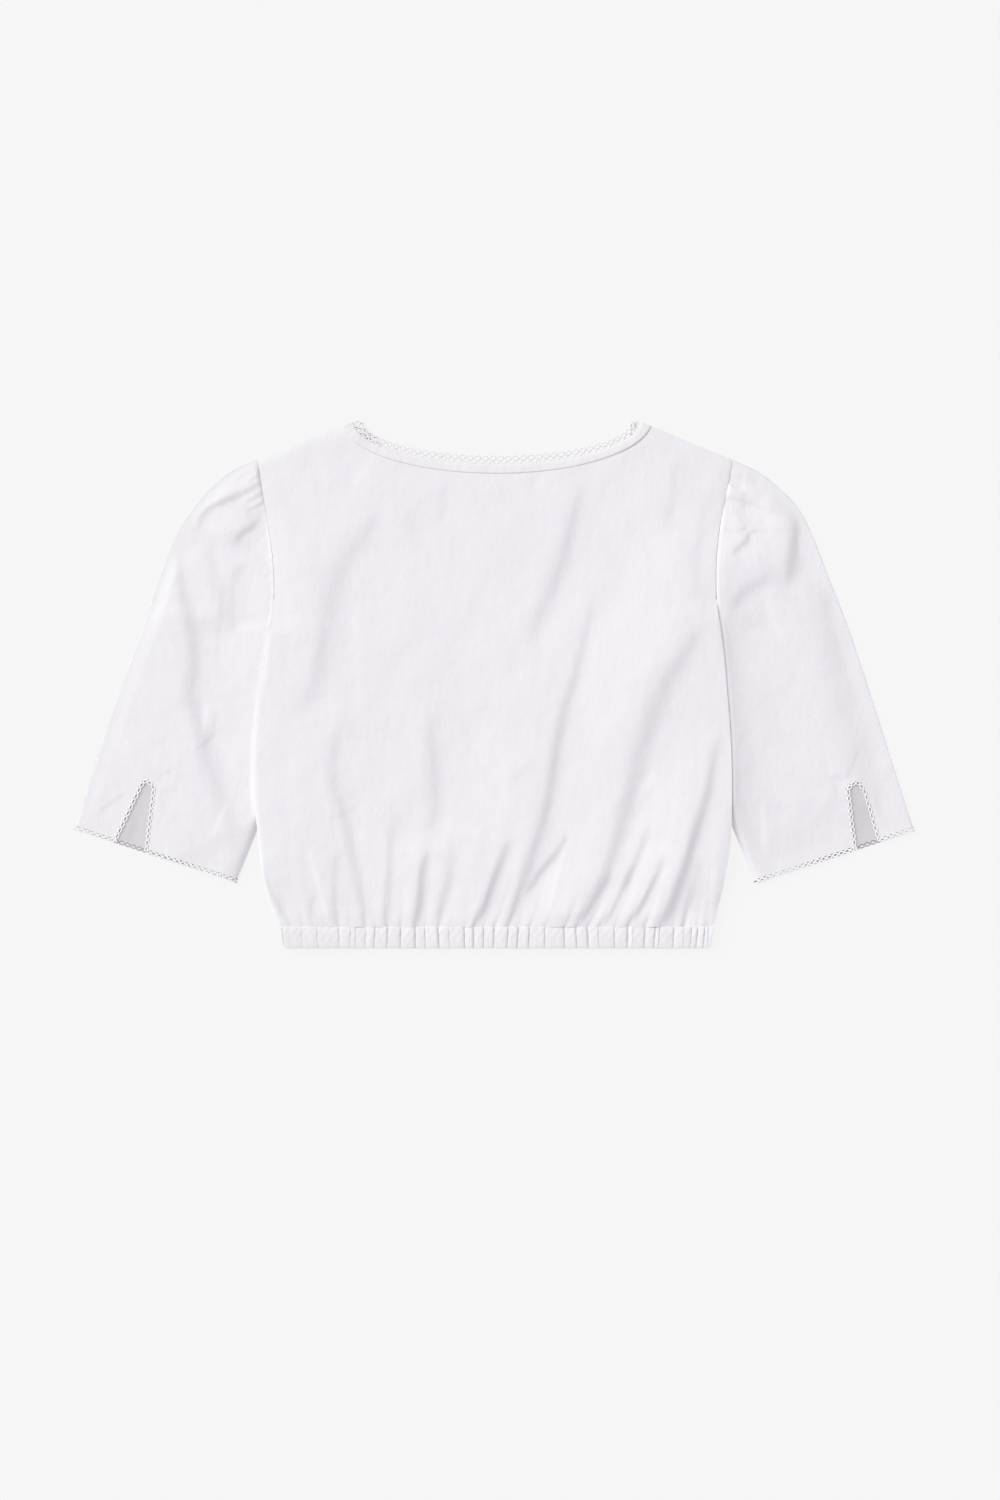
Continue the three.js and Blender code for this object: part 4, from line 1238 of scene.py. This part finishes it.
def sleeve_tube(name, sleeve, material):
    """A sleeve as a flattened tube, open at its armhole and hem, with the slit in its upper layer."""
    plan = sleeve_plan(sleeve)
    outward = ARMHOLE_GAP * sign_of(sleeve)
    upper_columns, lower_columns, rows = 140, 50, 236
    bm, u, v = grid_points(upper_columns + lower_columns, rows)
    turn = upper_columns / (upper_columns + lower_columns)
    over = u <= turn + 1e-9
    share = np.where(over, u / turn, 1 - (u - turn) / (1 - turn))
    across = np.clip(0.5 - 0.5 * np.cos(math.pi * share), 0, 1) * 0.55 + share * 0.45
    down = 1 - v
    x, y = plan(down, across)
    beyond_seam = rise((x - body_side(sleeve, y)) * sign_of(sleeve), 2)
    gathered = cap_gathers(sleeve, x - outward, y) * beyond_seam * smooth((y - 40) / 30)
    top = sleeve_top(sleeve, x - outward, y) + gathered
    from_fold, from_inner = sleeve_edges(sleeve, x - outward, y)[:2]
    upper, lower = sleeve_rim(sleeve, top, from_fold, from_inner, y)
    from_slit = measure_from(slit_outline(sleeve["slit"]), x - outward, y)[0]
    seen = np.maximum(top - 2 * CLOTH - 0.35, 0) * np.exp(-((from_slit / 22) ** 2))
    z = np.where(over, upper, np.maximum(lower, seen))
    set_points(bm, x, y, z)
    lay_uv(bm, across * 175, down * 330)
    upper_flag = bm.faces.layers.int.new("upper")
    bm.verts.index_update()
    for face in bm.faces:
        face[upper_flag] = int(all(over[vert.index] for vert in face.verts))
    cut_slit(bm, sleeve["slit"], upper_flag)
    bmesh.ops.remove_doubles(bm, verts=bm.verts, dist=2e-6)
    bmesh.ops.recalc_face_normals(bm, faces=bm.faces)
    # The tube's inner faces take the darker cotton: painted shade inside the sleeve, seen through the slit.
    return thicken(make_piece(name, bm, material), CLOTH, inside=painted_shade_cotton)


def hem_lace_lines(sleeve):
    """The lace round a sleeve's hem: from the slit's inner foot over, under, and back to its outer foot."""
    plan = sleeve_plan(sleeve)
    outward = ARMHOLE_GAP * sign_of(sleeve)
    start, end = np.array(sleeve["outer"][-1], float), np.array(sleeve["hem_tip"], float)
    length = np.hypot(*(end - start))
    way = (end - start) / length
    out = np.array([way[1], -way[0]]) * math.copysign(1, way[0])
    feet = [np.hypot(*(np.array(sleeve["slit"][key]) - start)) for key in ("outer_foot", "inner_foot")]

    def layer(begin, finish, upper):
        def place(along, across, over):
            ones = np.ones(len(along))
            x, y = plan(ones, along / length)
            top = sleeve_top(sleeve, x - outward, y)
            layers = sleeve_rim(sleeve, top, along, length - along, y)
            height = layers[0] - 0.15 if upper else layers[1] + 0.4
            return x + out[0] * across, y + out[1] * across, height + over

        pitch = LACE_PITCH if upper else LOWER_LACE_PITCH
        return lace_lines(place, begin, finish, pitch, LACE_MIDDLE["hem"])

    upper_lines = layer(feet[1] - 1.5, length, True) + layer(0, feet[0] + 1.5, True)
    return upper_lines, layer(0, length, False)


def slit_lace_lines(sleeve):
    """The lace along the slit's edge, laid into the opening."""
    outline = slit_outline(sleeve["slit"])
    sign = -sign_of(sleeve)
    passed = run_along(outline)
    outward = ARMHOLE_GAP * sign_of(sleeve)
    way = np.gradient(outline, axis=0)
    way = way / np.hypot(*way.T)[:, None]

    def place(along, across, over):
        x, y = [np.interp(along, passed, outline[:, k]) for k in range(2)]
        sx = np.interp(along, passed, way[:, 1]) * sign
        sy = np.interp(along, passed, -way[:, 0]) * sign
        top = sleeve_top(sleeve, x - outward, y)
        return x + sx * across, y + sy * across, top + 0.05 + over

    return lace_lines(place, 0, passed[-1], LACE_PITCH, LACE_MIDDLE["slit"])


sleeve_pieces = {}
for side, sleeve in SLEEVES.items():
    tube = sleeve_tube(f"sleeve_{side}_cloth", sleeve, cotton)
    upper_hem, lower_hem = hem_lace_lines(sleeve)
    # The hem's lower lace takes the darker thread: painted shade under the upper layer.
    hem = threads(
        f"hem_lace_{side}_thread", upper_hem, SLEEVE_THREAD_RADIUS, lace_thread, lower_hem, lace_shaded)
    slit = threads(
        f"slit_lace_{side}_thread", slit_lace_lines(sleeve), SLEEVE_THREAD_RADIUS, lace_thread)
    sleeve_pieces[side] = (tube, hem, slit)

# Every piece lies with the one rigid body, and stands for its solid
pieces = {
    "back_panel": (back_panel, "cotton"),
    "front_panel": (front_panel, "cotton"),
    "waist_casing_back": (waist_casing_back, "cotton"),
    "waist_casing_front": (waist_casing_front, "cotton"),
    "neck_binding_back": (neck_binding_back, "cotton"),
    "neck_binding_front": (neck_binding_front, "cotton"),
    "neck_lace_back": (neck_lace_back, "lace"),
    "neck_lace_front": (neck_lace_front, "lace"),
}
for side, (tube, hem, slit) in sleeve_pieces.items():
    pieces[f"sleeve_{side}"] = (tube, "cotton")
    pieces[f"hem_lace_{side}"] = (hem, "lace")
    pieces[f"slit_lace_{side}"] = (slit, "lace")
for node, (piece, slot_name) in pieces.items():
    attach(piece, "root")
    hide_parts(node)

# Floor, light and camera, in metres
bm = bmesh.new()
bmesh.ops.create_grid(bm, x_segments=1, y_segments=1, size=4)
bmesh.ops.translate(bm, verts=bm.verts, vec=(0, 0, -0.0005))
floor_finish = Finish("pale floor")
floor_finish.set(Base_Color=(0.07, 0.0705, 0.07, 1), Roughness=1.0, Emission_Color=(1, 1, 1, 1))
floor_finish.set(Emission_Strength=0.846)
floor_finish.surface.inputs["Specular IOR Level"].default_value = 0
floor = make_piece("floor", bm, floor_finish.material)

sun = bpy.data.lights.new("window light", "SUN")
sun.energy = 2.2
sun.angle = math.radians(56)
sun.color = (0.97, 1.01, 0.965)
sun_lamp = bpy.data.objects.new("window light", sun)
sun_lamp.rotation_euler = Vector((1.0, -0.55, -0.85)).to_track_quat("-Z", "Y").to_euler()
bpy.context.scene.collection.objects.link(sun_lamp)

world = bpy.data.worlds.new("soft room")
world.use_nodes = True
world.node_tree.nodes["Background"].inputs["Color"].default_value = (1.025, 0.99, 1.03, 1)
world.node_tree.nodes["Background"].inputs["Strength"].default_value = 0.68
bpy.context.scene.world = world

camera_height = 2.4
picture_height = 1.275
picture_centre = (0.0047, -0.0567)
camera = bpy.data.cameras.new("camera above")
camera.sensor_fit = "VERTICAL"
camera.sensor_height = 36
camera.lens = camera.sensor_height * camera_height / picture_height
camera_rig = bpy.data.objects.new("camera above", camera)
camera_rig.location = (*picture_centre, camera_height)
bpy.context.scene.collection.objects.link(camera_rig)
bpy.context.scene.camera = camera_rig
bpy.context.scene.view_settings.view_transform = "Standard"
